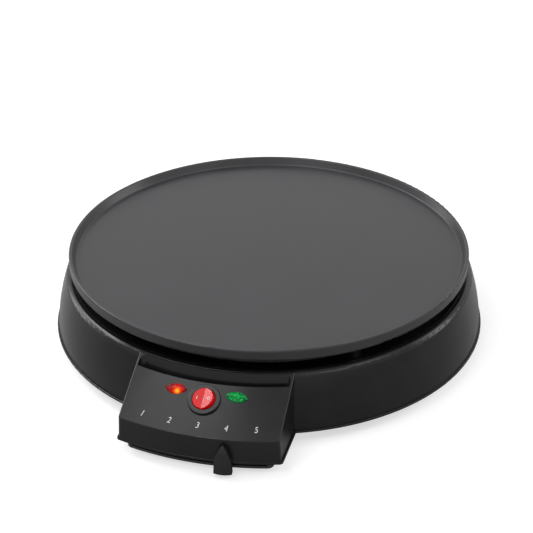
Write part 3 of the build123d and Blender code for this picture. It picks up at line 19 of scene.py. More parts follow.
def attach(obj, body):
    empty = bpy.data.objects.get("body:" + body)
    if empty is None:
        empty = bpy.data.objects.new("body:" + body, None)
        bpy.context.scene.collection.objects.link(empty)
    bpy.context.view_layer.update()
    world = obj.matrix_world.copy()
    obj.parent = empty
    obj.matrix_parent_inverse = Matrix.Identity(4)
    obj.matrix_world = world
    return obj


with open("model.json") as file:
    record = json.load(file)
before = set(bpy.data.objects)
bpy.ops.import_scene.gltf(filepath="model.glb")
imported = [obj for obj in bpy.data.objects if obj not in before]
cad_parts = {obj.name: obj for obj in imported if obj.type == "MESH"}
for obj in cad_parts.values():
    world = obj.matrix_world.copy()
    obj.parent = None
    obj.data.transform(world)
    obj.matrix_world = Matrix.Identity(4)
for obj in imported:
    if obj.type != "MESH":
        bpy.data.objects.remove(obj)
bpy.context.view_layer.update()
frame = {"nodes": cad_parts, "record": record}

LOG = logging.getLogger("crepe_maker")
MM = 0.001
IMAGE_WIDTH = 533.0  # pixels
SENSOR_WIDTH = 36.0  # millimetres, as the camera takes it
CLOUD_EDGES = (0.3, 0.7)  # where a cloud pattern turns from one shade to the other
GLOSS_EDGES = (0.25, 0.75)  # the same for its gloss

Colour = tuple[float, float, float]
Triple = tuple[float, float, float]
Value = Union["Link", float, int]


class Body(Enum):
    """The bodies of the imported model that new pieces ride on."""

    BASE = "base"
    ROCKER = "rocker"


class Detail(Enum):
    """How many octaves a noise pattern has."""

    SMOOTH = 2.0
    FINE = 3.0
    BROKEN = 4.0


# ---- places on the object -----------------------------------------------------
def outward(azimuth: float) -> Vector:
    """Level unit vector that points away from the plate's axis."""
    return Vector((math.sin(math.radians(azimuth)), -math.cos(math.radians(azimuth)), 0.0))


def across(azimuth: float) -> Vector:
    """Level unit vector along the circle, anticlockwise seen from above."""
    return Vector((math.cos(math.radians(azimuth)), math.sin(math.radians(azimuth)), 0.0))


def raised(azimuth: float, elevation: float) -> Vector:
    """Unit vector that points away from the object at this azimuth and elevation."""
    turn, lift = math.radians(azimuth), math.radians(elevation)
    return Vector((math.sin(turn) * math.cos(lift), -math.cos(turn) * math.cos(lift), math.sin(lift)))


def basis(x_axis: Vector, z_axis: Vector, origin: Vector) -> Matrix:
    """A frame from its x and z directions.

    Args:
        x_axis: direction of local x.
        z_axis: direction of local z, square to x_axis.
        origin: where the frame's origin is.

    Returns:
        The matrix that takes local points to the object's frame.
    """
    x_unit, z_unit = x_axis.normalized(), z_axis.normalized()
    y_unit = z_unit.cross(x_unit)
    turn = Matrix((x_unit, y_unit, z_unit)).transposed().to_4x4()
    return Matrix.Translation(origin) @ turn


@dataclass(frozen=True)
class Panel:
    """The sloping control panel, which is part of a cone about the plate's axis."""

    front_radius: float = 203.0 * MM
    front_level: float = 29.0 * MM
    back_radius: float = 157.0 * MM
    back_level: float = 54.0 * MM

    @property
    def rise(self) -> float:
        """Height gained for each metre towards the plate's axis."""
        return (self.back_level - self.front_level) / (self.front_radius - self.back_radius)

    def level(self, radius: float) -> float:
        """Height of the surface at this distance from the axis."""
        return self.front_level + (self.front_radius - radius) * self.rise

    def place(self, azimuth: float, radius: float, lift: float = 0.0) -> Matrix:
        """A frame on the surface: x runs across, y up the slope and z out of the panel.

        Args:
            azimuth: where it is round the axis, in degrees.
            radius: its distance from the axis.
            lift: how far it stands off the surface.

        Returns:
            The matrix that takes local points to the object's frame.
        """
        origin = outward(azimuth) * radius + Vector((0.0, 0.0, self.level(radius)))
        return self.stand(azimuth, origin + self.normal(azimuth) * lift)

    def normal(self, azimuth: float) -> Vector:
        """Unit vector out of the panel's face."""
        lean = math.atan(self.rise)
        return outward(azimuth) * math.sin(lean) + Vector((0.0, 0.0, math.cos(lean)))

    def stand(self, azimuth: float, origin: Vector) -> Matrix:
        """A frame that is square to the panel at this azimuth, wherever its origin is.

        Args:
            azimuth: where the panel is met, in degrees.
            origin: the frame's origin.

        Returns:
            The matrix that takes local points to the object's frame.
        """
        return basis(across(azimuth), self.normal(azimuth), origin)


PANEL = Panel()


# ---- shader recipes -----------------------------------------------------------
class Link:
    """An output of a shader node, on which Python's arithmetic adds Math nodes."""

    def __init__(self, recipe: "Recipe", socket: bpy.types.NodeSocket) -> None:
        """Keeps the recipe that the output belongs to."""
        self.recipe = recipe
        self.socket = socket

    def _math(self, operation: str, first: Value, second: Value = 0.0) -> "Link":
        """Adds one Math node."""
        return self.recipe.add("ShaderNodeMath", {"operation": operation}, {0: first, 1: second})

    def __add__(self, other: Value) -> "Link":
        """Sum."""
        return self._math("ADD", self, other)

    def __radd__(self, other: Value) -> "Link":
        """Sum with the number first."""
        return self._math("ADD", other, self)

    def __sub__(self, other: Value) -> "Link":
        """Difference."""
        return self._math("SUBTRACT", self, other)

    def __mul__(self, other: Value) -> "Link":
        """Product."""
        return self._math("MULTIPLY", self, other)

    def __truediv__(self, other: Value) -> "Link":
        """Quotient."""
        return self._math("DIVIDE", self, other)

    def power(self, exponent: Value) -> "Link":
        """This value raised to a power."""
        return self._math("POWER", self, exponent)

    def sine(self) -> "Link":
        """Sine of this value, in radians."""
        return self._math("SINE", self)

    def step(self, low: float, high: float, bottom: float = 0.0, top: float = 1.0) -> "Link":
        """A smooth step.

        Args:
            low: the value at which the step starts.
            high: the value at which it ends.
            bottom: what it gives before the step.
            top: what it gives after it.

        Returns:
            The stepped value.
        """
        settings = {"interpolation_type": "SMOOTHSTEP", "clamp": True}
        ends = {"Value": self, "From Min": low, "From Max": high, "To Min": bottom, "To Max": top}
        return self.recipe.add("ShaderNodeMapRange", settings, ends)


class Recipe:
    """A procedural material while its nodes are added."""

    def __init__(self, name: str) -> None:
        """Starts an empty material.

        Args:
            name: what the material is called.
        """
        self.material = bpy.data.materials.new(name)
        self.material.use_nodes = True
        self.tree = self.material.node_tree
        self.tree.nodes.clear()
        self.output = self.tree.nodes.new("ShaderNodeOutputMaterial")

    def add(
        self,
        kind: str,
        settings: dict[str, Any] | None = None,
        sockets: dict[Any, Any] | None = None,
        output: Union[int, str] = 0,
    ) -> Link:
        """Adds a node.

        Args:
            kind: the node's type.
            settings: its properties, and "stops" for a colour ramp's positions and colours.
            sockets: values or links of its inputs, by name or number.
            output: which of its outputs is wanted.

        Returns:
            That output.
        """
        node = self.tree.nodes.new(kind)
        for name, value in (settings or {}).items():
            if name == "stops":
                self._set_stops(node.color_ramp, value)
            else:
                setattr(node, name, value)
        for key, value in (sockets or {}).items():
            if isinstance(value, Link):
                self.tree.links.new(value.socket, node.inputs[key])
            else:
                node.inputs[key].default_value = value
        return Link(self, node.outputs[output])

    @staticmethod
    def _set_stops(ramp: bpy.types.ColorRamp, stops: list[tuple[float, Colour]]) -> None:
        """Writes a colour ramp's positions and colours.

        Args:
            ramp: the ramp.
            stops: its positions, each with its colour.
        """
        while len(ramp.elements) < len(stops):
            ramp.elements.new(1.0)
        for element, (position, colour) in zip(ramp.elements, stops):
            element.position = position
            element.color = (*colour, 1.0)

    def place(self, centre: Triple = (0, 0, 0), scale: Triple = (1, 1, 1)) -> Link:
        """Object coordinates, moved so that centre is the pattern's origin.

        Args:
            centre: the pattern's origin on the object.
            scale: how much the pattern is squeezed along each axis.

        Returns:
            The pattern's coordinates.
        """
        here = self.add("ShaderNodeTexCoord", output="Object")
        moved = self.add("ShaderNodeVectorMath", {"operation": "SUBTRACT"}, {0: here, 1: centre})
        return self.add("ShaderNodeMapping", None, {"Vector": moved, "Scale": scale})

    def noise(self, at: Link, scale: float, detail: Detail, rough: float = 0.55) -> Link:
        """Cloudy values from 0 to 1, with features about one over scale across."""
        sockets = {"Vector": at, "Scale": scale, "Detail": detail.value, "Roughness": rough}
        return self.add("ShaderNodeTexNoise", None, sockets)

    def cells(self, at: Link, scale: float, output: str = "Distance") -> Link:
        """Voronoi cells about one over scale across."""
        return self.add("ShaderNodeTexVoronoi", {"feature": "F1"}, {"Vector": at, "Scale": scale}, output)

    def mix(self, factor: Value, first: Union[Link, Colour], second: Union[Link, Colour]) -> Link:
        """A colour between two others.

        Args:
            factor: 0 gives the first colour and 1 the second.
            first: a colour or a link.
            second: a colour or a link.

        Returns:
            The mixed colour.
        """
        ends = [value if isinstance(value, Link) else (*value, 1.0) for value in (first, second)]
        sockets = {0: factor, 6: ends[0], 7: ends[1]}
        return self.add("ShaderNodeMix", {"data_type": "RGBA"}, sockets, 2)

    def split(self, at: Link) -> tuple[Link, Link, Link]:
        """The three coordinates of a vector.

        Args:
            at: the vector.

        Returns:
            Its x, y and z.
        """
        node = self.tree.nodes.new("ShaderNodeSeparateXYZ")
        self.tree.links.new(at.socket, node.inputs[0])
        return tuple(Link(self, output) for output in node.outputs)

    def bump(self, height: Value, depth: float, under: Link | None = None) -> Link:
        """A normal that is raised by a height pattern.

        Args:
            height: the pattern.
            depth: how deep it is, in metres.
            under: a normal that it is laid over.

        Returns:
            The normal.
        """
        sockets = {"Height": height, "Distance": depth, "Strength": 1.0}
        if under is not None:
            sockets["Normal"] = under
        return self.add("ShaderNodeBump", None, sockets)

    def shade(self, **sockets: Any) -> bpy.types.Material:
        """Ends the recipe with a Principled shader.

        Args:
            **sockets: its inputs, with underscores for spaces.

        Returns:
            The finished material.
        """
        named = {}
        for key, value in sockets.items():
            is_colour = isinstance(value, tuple) and len(value) == 3
            named[key.replace("_", " ")] = (*value, 1.0) if is_colour else value
        shader = self.add("ShaderNodeBsdfPrincipled", None, named)
        self.tree.links.new(shader.socket, self.output.inputs["Surface"])
        return self.material


# ---- finishes -----------------------------------------------------------------
def darker(colour: Colour, share: float) -> Colour:
    """A colour with this share of its brightness."""
    return tuple(part * share for part in colour)


@dataclass(frozen=True)
class Moulded:
    """Moulded plastic, nylon or rubber with a fine grain and slightly uneven gloss."""

    name: str
    colour: Colour
    roughness: float
    tint: Colour = (0.004, 0.004, 0.005)
    spread: float = 0.05
    specular: float = 0.5
    grain_scale: float = 1400.0
    grain_depth: float = 0.00001
    ripple_depth: float = 0.00002
    cloud_scale: float = 28.0
    ripple_scale: float = 55.0
    cloud_share: float = 0.8
    grain_share: float = 0.2
    grain_gloss: float = 0.04

    def material(self) -> bpy.types.Material:
        """Makes the material."""
        recipe = Recipe(self.name)
        here = recipe.place()
        cloud = recipe.noise(here, self.cloud_scale, Detail.BROKEN)
        grain = recipe.noise(here, self.grain_scale, Detail.SMOOTH)
        deep = tuple(max(0.0, part - shift) for part, shift in zip(self.colour, self.tint))
        pale = tuple(part + shift for part, shift in zip(self.colour, self.tint))
        ripple = recipe.bump(recipe.noise(here, self.ripple_scale, Detail.SMOOTH), self.ripple_depth)
        shades = cloud.step(*CLOUD_EDGES) * self.cloud_share + grain * self.grain_share
        sheen = cloud.step(*GLOSS_EDGES, self.roughness - self.spread, self.roughness + self.spread)
        return recipe.shade(
            Base_Color=recipe.mix(shades, deep, pale),
            Roughness=sheen + (grain - 0.5) * self.grain_gloss,
            Specular_IOR_Level=self.specular,
            Normal=recipe.bump(grain, self.grain_depth, ripple),
        )


@dataclass(frozen=True)
class NonStick:
    """Dark non-stick coating over a turned plate, with fine pale flecks."""

    name: str = "nonstick_cast"
    colour: Colour = (0.03, 0.03, 0.033)
    fleck: Colour = (0.12, 0.12, 0.125)
    roughness: float = 0.34
    ring_pitch: float = 0.0011
    ring_depth: float = 0.000006
    cloud_scale: float = 22.0
    cloud_dulling: float = 0.82
    fleck_scale: float = 620.0
    fleck_edges: tuple[float, float] = (0.16, 0.05)
    fleck_share: float = 0.35
    fleck_gloss: float = 0.08
    grain_scale: float = 1700.0
    grain_depth: float = 0.000025
    spread: float = 0.05
    specular: float = 0.4

    def material(self) -> bpy.types.Material:
        """Makes the material."""
        recipe = Recipe(self.name)
        here = recipe.place()
        x, y, _ = recipe.split(here)
        radius = (x * x + y * y).power(0.5)
        rings = (radius * (2 * math.pi / self.ring_pitch)).sine() * 0.5 + 0.5
        cloud = recipe.noise(here, self.cloud_scale, Detail.BROKEN)
        flecks = recipe.cells(here, self.fleck_scale).step(*self.fleck_edges)
        grain = recipe.noise(here, self.grain_scale, Detail.FINE)
        coat = recipe.mix(cloud.step(*CLOUD_EDGES), darker(self.colour, self.cloud_dulling), self.colour)
        ringed = recipe.bump(rings, self.ring_depth)
        sheen = cloud.step(*CLOUD_EDGES, self.roughness - self.spread, self.roughness + self.spread)
        return recipe.shade(
            Base_Color=recipe.mix(flecks * self.fleck_share, coat, self.fleck),
            Roughness=sheen + flecks * self.fleck_gloss,
            Specular_IOR_Level=self.specular,
            Normal=recipe.bump(grain, self.grain_depth, ringed),
        )


@dataclass(frozen=True)
class Plated:
    """Plated, rolled or drawn metal with a fine brushed grain along one direction."""

    name: str
    colour: Colour
    roughness: float
    stain: Colour
    stretch: Triple = (1.0, 1.0, 0.08)
    stain_amount: float = 0.35
    metallic: float = 1.0
    brush_scale: float = 1600.0
    brush_depth: float = 0.000012
    brush_gloss: float = 0.18
    cloud_scale: float = 90.0
    cloud_harshness: float = 0.65
    stain_edges: tuple[float, float] = (0.45, 0.75)
    stain_gloss: float = 0.3
    spangle_scale: float = 500.0
    spangle_share: float = 0.06

    def material(self) -> bpy.types.Material:
        """Makes the material."""
        recipe = Recipe(self.name)
        here = recipe.place()
        brushed = recipe.noise(recipe.place(scale=self.stretch), self.brush_scale, Detail.FINE)
        cloud = recipe.noise(here, self.cloud_scale, Detail.BROKEN, self.cloud_harshness)
        spangle = recipe.cells(here, self.spangle_scale, output="Color")
        spots = recipe.split(spangle)[0]
        tarnish = cloud.step(*self.stain_edges) * self.stain_amount
        return recipe.shade(
            Base_Color=recipe.mix(tarnish + spots * self.spangle_share, self.colour, self.stain),
            Metallic=self.metallic,
            Roughness=self.roughness + (brushed - 0.5) * self.brush_gloss + tarnish * self.stain_gloss,
            Normal=recipe.bump(brushed, self.brush_depth),
        )


@dataclass(frozen=True)
class Fired:
    """Unglazed or lightly glazed ceramic, chalky with small pits."""

    name: str = "white_ceramic"
    colour: Colour = (0.78, 0.74, 0.66)
    shade_colour: Colour = (0.62, 0.57, 0.48)
    roughness: float = 0.62
    cloud_scale: float = 160.0
    cloud_edges: tuple[float, float] = (0.35, 0.8)
    cloud_gloss: float = 0.2
    pit_scale: float = 1500.0
    pit_edges: tuple[float, float] = (0.12, 0.3)
    pit_depth: float = 0.00003

    def material(self) -> bpy.types.Material:
        """Makes the material."""
        recipe = Recipe(self.name)
        here = recipe.place()
        cloud = recipe.noise(here, self.cloud_scale, Detail.BROKEN)
        pits = recipe.cells(here, self.pit_scale).step(*self.pit_edges)
        return recipe.shade(
            Base_Color=recipe.mix(cloud.step(*self.cloud_edges), self.colour, self.shade_colour),
            Roughness=self.roughness + (cloud - 0.5) * self.cloud_gloss,
            Normal=recipe.bump(pits, self.pit_depth),
        )


@dataclass(frozen=True)
class Woven:
    """Braided glass-fibre sleeve along the object's y direction, with painted shade in the gaps between
    its strands.
    """

    name: str = "white_sleeve"
    colour: Colour = (0.8, 0.77, 0.68)
    # darker colour painted into the gaps between strands as their shade
    gap_colour: Colour = (0.42, 0.38, 0.3)
    pitch: float = 0.0009
    roughness: float = 0.75
    fuzz_scale: float = 2500.0
    fuzz_gloss: float = 0.15
    fuzz_height: float = 0.4
    braid_share: float = 0.7
    fuzz_share: float = 0.3
    braid_depth: float = 0.00012

    def material(self) -> bpy.types.Material:
        """Makes the material."""
        recipe = Recipe(self.name)
        here = recipe.place()
        x, y, z = recipe.split(here)
        turns = 2 * math.pi / self.pitch
        leaning = ((x + y + z) * turns).sine()
        crossing = ((x - y + z) * turns).sine()
        braid = leaning * crossing * 0.5 + 0.5
        fuzz = recipe.noise(here, self.fuzz_scale, Detail.FINE)
        shades = braid * self.braid_share + fuzz * self.fuzz_share
        # the braid's low places, the gaps between strands, get the darker colour: painted shade
        return recipe.shade(
            Base_Color=recipe.mix(shades, self.gap_colour, self.colour),
            Roughness=self.roughness + fuzz * self.fuzz_gloss,
            Normal=recipe.bump(braid + fuzz * self.fuzz_height, self.braid_depth),
        )


@dataclass(frozen=True)
class Insulation:
    """Extruded wire insulation, with a second colour in a stripe where the wire has one."""

    name: str
    colour: Colour
    stripe: Colour | None = None
    roughness: float = 0.42
    cloud_scale: float = 240.0
    cloud_dulling: float = 0.78
    grain_scale: float = 2600.0
    grain_depth: float = 0.000015
    grain_gloss: float = 0.1
    stripe_turns: float = 1900.0
    stripe_twist: float = 260.0
    stripe_slope: float = 1.3
    stripe_edge: float = 0.15

    def material(self) -> bpy.types.Material:
        """Makes the material."""
        recipe = Recipe(self.name)
        here = recipe.place()
        cloud = recipe.noise(here, self.cloud_scale, Detail.FINE)
        grain = recipe.noise(here, self.grain_scale, Detail.SMOOTH)
        body = recipe.mix(cloud.step(*CLOUD_EDGES), darker(self.colour, self.cloud_dulling), self.colour)
        if self.stripe is not None:
            x, y, z = recipe.split(here)
            along = (x + z * self.stripe_slope) * self.stripe_turns
            band = (along + y * self.stripe_twist).sine()
            body = recipe.mix(band.step(-self.stripe_edge, self.stripe_edge), body, self.stripe)
        return recipe.shade(
            Base_Color=body,
            Roughness=self.roughness + (grain - 0.5) * self.grain_gloss,
            Normal=recipe.bump(grain, self.grain_depth),
        )


@dataclass(frozen=True)
class Clear:
    """Clear coloured plastic or glass."""

    name: str
    colour: Colour
    deep_colour: Colour
    transmission: float
    glow_stops: tuple[tuple[float, Colour], ...] = ()
    glow_centre: Triple = (0.0, 0.0, 0.0)
    glow_reach: float = 0.01
    glow_strength: float = 1.0
    roughness: float = 0.06
    specular: float = 0.5
    refraction: float = 1.49
    cloud_scale: float = 700.0
    cloud_edges: tuple[float, float] = (0.35, 0.65)
    cloud_depth: float = 0.00001
    cloud_gloss: float = 0.05

    def material(self) -> bpy.types.Material:
        """Makes the material."""
        recipe = Recipe(self.name)
        here = recipe.place(self.glow_centre)
        cloud = recipe.noise(recipe.place(), self.cloud_scale, Detail.SMOOTH)
        sockets: dict[str, Any] = {
            "Base_Color": recipe.mix(cloud.step(*self.cloud_edges), self.deep_colour, self.colour),
            "Roughness": self.roughness + cloud * self.cloud_gloss,
            "Transmission_Weight": self.transmission,
            "IOR": self.refraction,
            "Specular_IOR_Level": self.specular,
            "Normal": recipe.bump(cloud, self.cloud_depth),
        }
        if self.glow_stops:
            x, y, z = recipe.split(here)
            distance = (x * x + y * y + z * z).power(0.5) / self.glow_reach
            stops = {"stops": list(self.glow_stops)}
            sockets["Emission_Color"] = recipe.add("ShaderNodeValToRGB", stops, {"Fac": distance})
            sockets["Emission_Strength"] = self.glow_strength
        return recipe.shade(**sockets)


@dataclass(frozen=True)
class Ink:
    """Printed ink, slightly worn and not quite even."""

    name: str
    colour: Colour
    roughness: float = 0.5
    cloud_scale: float = 900.0
    cloud_edges: tuple[float, float] = (0.3, 0.6)
    cloud_dulling: float = 0.72
    grain_scale: float = 5000.0
    grain_depth: float = 0.000008
    grain_gloss: float = 0.1

    def material(self) -> bpy.types.Material:
        """Makes the material."""
        recipe = Recipe(self.name)
        here = recipe.place()
        cloud = recipe.noise(here, self.cloud_scale, Detail.FINE)
        grain = recipe.noise(here, self.grain_scale, Detail.SMOOTH)
        worn = darker(self.colour, self.cloud_dulling)
        return recipe.shade(
            Base_Color=recipe.mix(cloud.step(*self.cloud_edges), worn, self.colour),
            Roughness=self.roughness + (grain - 0.5) * self.grain_gloss,
            Normal=recipe.bump(grain, self.grain_depth),
        )


STEEL_STAIN = (0.36, 0.35, 0.33)
LENS_AZIMUTH = 7.3
RED_LAMP_PLACE = (-0.0206, -0.1738, 0.0440)
RED_LAMP_REACH = 0.0068
LIT_LAMP = (
    (0.0, (1.0, 0.9, 0.05)),
    (0.22, (1.0, 0.6, 0.0)),
    (0.36, (0.7, 0.05, 0.0)),
    (0.6, (0.22, 0.0, 0.0)),
    (1.0, (0.05, 0.0, 0.0)),
)
FINISHES: tuple[Any, ...] = (
    NonStick(),
    Moulded(
        "black_gloss",
        (0.009, 0.009, 0.0098),
        0.24,
        tint=(0.002, 0.002, 0.002),
        spread=0.04,
        specular=0.24,
        ripple_depth=0.00001,
    ),
    Moulded("black_satin", (0.012, 0.012, 0.013), 0.3, tint=(0.002, 0.002, 0.002), specular=0.3),
    Moulded("black_matte", (0.02, 0.02, 0.021), 0.55, grain_depth=0.00004),
    Moulded("black_rubber", (0.021, 0.021, 0.021), 0.75, grain_depth=0.00004, specular=0.3),
    Plated("zinc_steel", (0.66, 0.66, 0.64), 0.34, STEEL_STAIN),
    Plated("sheath_steel", (0.24, 0.22, 0.2), 0.5, (0.12, 0.09, 0.07), stain_amount=0.7),
    Plated("bright_steel", (0.68, 0.68, 0.67), 0.26, STEEL_STAIN, stretch=(1.0, 0.06, 1.0)),
    Fired(),
    Plated("tab_brass", (0.78, 0.6, 0.28), 0.3, (0.42, 0.28, 0.12)),
    Moulded(
        "red_plastic",
        (0.66, 0.003, 0.006),
        0.14,
        tint=(0.05, 0.001, 0.002),
        spread=0.02,
        specular=0.16,
        grain_depth=0.000003,
    ),
    Clear(
        "red_clear",
        (0.34, 0.001, 0.001),
        (0.12, 0.0, 0.0),
        transmission=0.05,
        glow_stops=LIT_LAMP,
        glow_centre=RED_LAMP_PLACE,
        glow_reach=RED_LAMP_REACH,
        specular=0.1,
    ),
    Clear("green_clear", (0.0, 0.42, 0.08), (0.0, 0.12, 0.02), transmission=0.05, specular=0.1),
    Moulded("natural_nylon", (0.7, 0.68, 0.62), 0.45, tint=(0.03, 0.03, 0.04)),
    Clear("neon_glass", (0.95, 0.8, 0.7), (0.9, 0.6, 0.45), transmission=0.8),
    Woven(),
    Insulation("brown_wire", (0.17, 0.07, 0.03)),
    Insulation("blue_wire", (0.03, 0.12, 0.42)),
    Insulation("green_yellow_wire", (0.05, 0.32, 0.04), (0.8, 0.66, 0.03)),
)


# ---- meshes -------------------------------------------------------------------
def finish_piece(
    name: str, mesh: bmesh.types.BMesh, material: bpy.types.Material, body: Body
) -> bpy.types.Object:
    """Turns a bmesh into a finished piece at the origin.

    Args:
        name: the piece's name.
        mesh: its shape, in the object's frame. It is freed.
        material: its finish.
        body: the body that it rides on.

    Returns:
        The piece.
    """
    data = bpy.data.meshes.new(name)
    mesh.to_mesh(data)
    mesh.free()
    data.materials.append(material)
    piece = bpy.data.objects.new(name, data)
    bpy.context.scene.collection.objects.link(piece)
    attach(piece, body.value)
    LOG.info("%s: %d faces", name, len(data.polygons))
    return piece


@dataclass
class CadParts:
    """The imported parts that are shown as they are, with their finishes."""

    materials: dict[str, bpy.types.Material] = field(default_factory=dict)

    def build(self) -> None:
        """Makes the material of each slot, which has its finish's name."""
        for finish in FINISHES:
            self.materials[finish.name] = finish.material()

    def dress(self) -> None:
        """Gives each part the finish that its slot names."""
        for row in frame["record"]["subparts"]:
            part = frame["nodes"][row["node"]]
            part.data.materials.clear()
            part.data.materials.append(self.materials[row["material_slot"]])
            LOG.info("%s: %s", row["node"], row["material_slot"])


@dataclass
class DialNumbers:
    """The numbers 1 to 5 that are printed along the panel's front edge."""

    radius: float = 195.3 * MM
    azimuths: tuple[float, ...] = (-12.25, -6.1, 0.0, 5.95, 12.1)
    height: float = 4.7 * MM
    lean: float = 0.14
    lift: float = 0.03 * MM
    size_per_height: float = 1.38
    squeeze: float = 0.82
    curve_steps: int = 8

    def build(self) -> bmesh.types.BMesh:
        """Makes the five numbers as one flat mesh.

        Returns:
            Their shape.
        """
        mesh = bmesh.new()
        for number, azimuth in enumerate(self.azimuths, start=1):
            curve = bpy.data.curves.new("number", "FONT")
            curve.body = str(number)
            curve.size = self.height * self.size_per_height
            curve.shear = self.lean
            curve.align_x = "CENTER"
            curve.align_y = "CENTER"
            curve.resolution_u = self.curve_steps
            text = bpy.data.objects.new("number", curve)
            flat = bpy.data.meshes.new_from_object(text)
            narrow = Matrix.Diagonal((self.squeeze, 1, 1, 1))
            flat.transform(PANEL.place(azimuth, self.radius, self.lift) @ narrow)
            mesh.from_mesh(flat)
            bpy.data.objects.remove(text)
            bpy.data.meshes.remove(flat)
            bpy.data.curves.remove(curve)
        return mesh

    def dress(self) -> None:
        """Prints them in white."""
        ink = Ink("white_ink", (0.75, 0.75, 0.74)).material()
        finish_piece("dial_numbers", self.build(), ink, Body.BASE)


@dataclass
class RockerMarks:
    """The stroke and the ring that are printed on the rocker's two halves."""

    pivot_radius: float = 177.896 * MM
    pivot_level: float = 42.871 * MM
    tilt: float = 10.0
    crown: float = 2.4 * MM
    reach: float = 4.4 * MM
    stroke: tuple[float, float] = (0.45 * MM, 2.4 * MM)
    ring_radius: float = 1.1 * MM
    ring_width: float = 0.34 * MM
    ring_segments: int = 40
    lift: float = 0.03 * MM

    def _place(self, side: int) -> Matrix:
        """A frame on one half of the rocker.

        Args:
            side: -1 for the pressed half on the left, 1 for the raised half.

        Returns:
            The matrix that takes local points to the object's frame.
        """
        tilt = math.radians(self.tilt)
        pivot = outward(0.0) * self.pivot_radius + Vector((0.0, 0.0, self.pivot_level))
        rocker = PANEL.stand(0.0, pivot) @ Matrix.Rotation(-tilt, 4, "Y")
        level = self.crown + self.reach * math.tan(tilt) + self.lift
        face = Matrix.Translation((side * self.reach, 0.0, level))
        return rocker @ face @ Matrix.Rotation(-side * tilt, 4, "Y")

    def build(self) -> bmesh.types.BMesh:
        """Makes both marks as one flat mesh.

        Returns:
            Their shape.
        """
        mesh = bmesh.new()
        stroke = self._place(-1) @ Matrix.Diagonal((self.stroke[0], self.stroke[1], 1, 1))
        bmesh.ops.create_grid(mesh, x_segments=1, y_segments=4, size=0.5, matrix=stroke)
        outer = bmesh.ops.create_circle(
            mesh,
            cap_ends=True,
            segments=self.ring_segments,
            radius=self.ring_radius,
            matrix=self._place(1),
        )
        disc = [face for face in mesh.faces if outer["verts"][0] in face.verts]
        bmesh.ops.inset_region(mesh, faces=disc, thickness=self.ring_width, use_boundary=True)
        bmesh.ops.delete(mesh, geom=disc, context="FACES")
        return mesh

    def dress(self) -> None:
        """Prints them in white on the rocker."""
        ink = Ink("rocker_ink", (0.8, 0.78, 0.77)).material()
        finish_piece("rocker_marks", self.build(), ink, Body.ROCKER)


@dataclass
class JewelCrown:
    """The faceted top of a lamp's lens."""

    name: str
    slot: str
    azimuth: float
    radius: float = 173.65 * MM
    length: float = 14.6 * MM
    width: float = 6.9 * MM
    foot: float = 0.5 * MM
    wall: float = 0.45 * MM
    bevels: tuple[tuple[float, float], ...] = ((1.0 * MM, 0.35 * MM), (1.1 * MM, 0.12 * MM))
    point: float = 0.22 * MM
    corners: int = 14
    axis_gap: float = 1e-4

    def _outline(self, across_share: float) -> float:
        """Half the width of the pointed oval.

        Args:
            across_share: how far out along its length, from 0 in the middle to 1 at a point.

        Returns:
            The half-width there.
        """
        half_length, half_width = self.length / 2, self.width / 2
        arc = (half_length**2 + half_width**2) / (2 * half_width)
        return math.sqrt(arc**2 - (across_share * half_length) ** 2) - (arc - half_width)

    def build(self) -> bmesh.types.BMesh:
        """Makes the crown.

        Returns:
            Its shape.
        """
        mesh = bmesh.new()
        bmesh.ops.create_circle(mesh, cap_ends=True, segments=self.corners, radius=1.0)
        for vert in mesh.verts:
            share = vert.co.x
            side = math.copysign(1.0, vert.co.y) if abs(vert.co.y) > self.axis_gap else 0.0
            vert.co = (share * self.length / 2, side * self._outline(share), self.foot)
        raised = bmesh.ops.extrude_face_region(mesh, geom=list(mesh.faces))["geom"]
        tops = [part for part in raised if isinstance(part, bmesh.types.BMFace)]
        lifted = [part for part in raised if isinstance(part, bmesh.types.BMVert)]
        bmesh.ops.translate(mesh, vec=(0.0, 0.0, self.wall), verts=lifted)
        for thickness, depth in self.bevels:
            ring = bmesh.ops.inset_region(mesh, faces=tops, thickness=thickness, depth=depth)["faces"]
            bmesh.ops.poke(mesh, faces=ring, offset=self.point)
        bmesh.ops.poke(mesh, faces=tops, offset=self.point)
        bmesh.ops.triangulate(mesh, faces=list(mesh.faces))
        bmesh.ops.recalc_face_normals(mesh, faces=list(mesh.faces))
        swing = Matrix.Rotation(-math.radians(self.azimuth), 4, "Z")
        seat = PANEL.place(self.azimuth, self.radius) @ swing
        bmesh.ops.transform(mesh, matrix=seat, verts=list(mesh.verts))
        return mesh

    def dress(self, materials: dict[str, bpy.types.Material]) -> None:
        """Gives it the lens's own clear plastic."""
        finish_piece(self.name, self.build(), materials[self.slot], Body.BASE)


# ---- studio -------------------------------------------------------------------
@dataclass
class Viewpoint:
    """The camera, in front of the console and a little to its right."""

    azimuth: float = 14.8
    elevation: float = 31.355
    distance: float = 1.3
    pivot_level: float = 0.01
    focal_pixels: float = 1630.7
    aim_right: float = -2.6
    aim_up: float = 44.69
    roll: float = -0.253
    clip: tuple[float, float] = (0.05, 30.0)

    def build(self) -> None:
        """Places the camera, aimed so that the middle of the frame needs no shift."""
        back, right = raised(self.azimuth, self.elevation), across(self.azimuth)
        up = back.cross(right)
        tilt = math.radians(self.roll)
        rolled_right = right * math.cos(tilt) + up * math.sin(tilt)
        rolled_up = up * math.cos(tilt) - right * math.sin(tilt)
        aim = rolled_right * self.aim_right + rolled_up * self.aim_up - back * self.focal_pixels
        seen_back = -aim.normalized()
        seen_right = rolled_up.cross(seen_back).normalized()
        camera = bpy.data.cameras.new("viewpoint")
        camera.sensor_width = SENSOR_WIDTH
        camera.lens = self.focal_pixels * SENSOR_WIDTH / IMAGE_WIDTH
        camera.clip_start, camera.clip_end = self.clip
        holder = bpy.data.objects.new("viewpoint", camera)
        bpy.context.scene.collection.objects.link(holder)
        place = back * self.distance + Vector((0.0, 0.0, self.pivot_level))
        holder.matrix_world = basis(seen_right, seen_back, place)
        bpy.context.scene.camera = holder


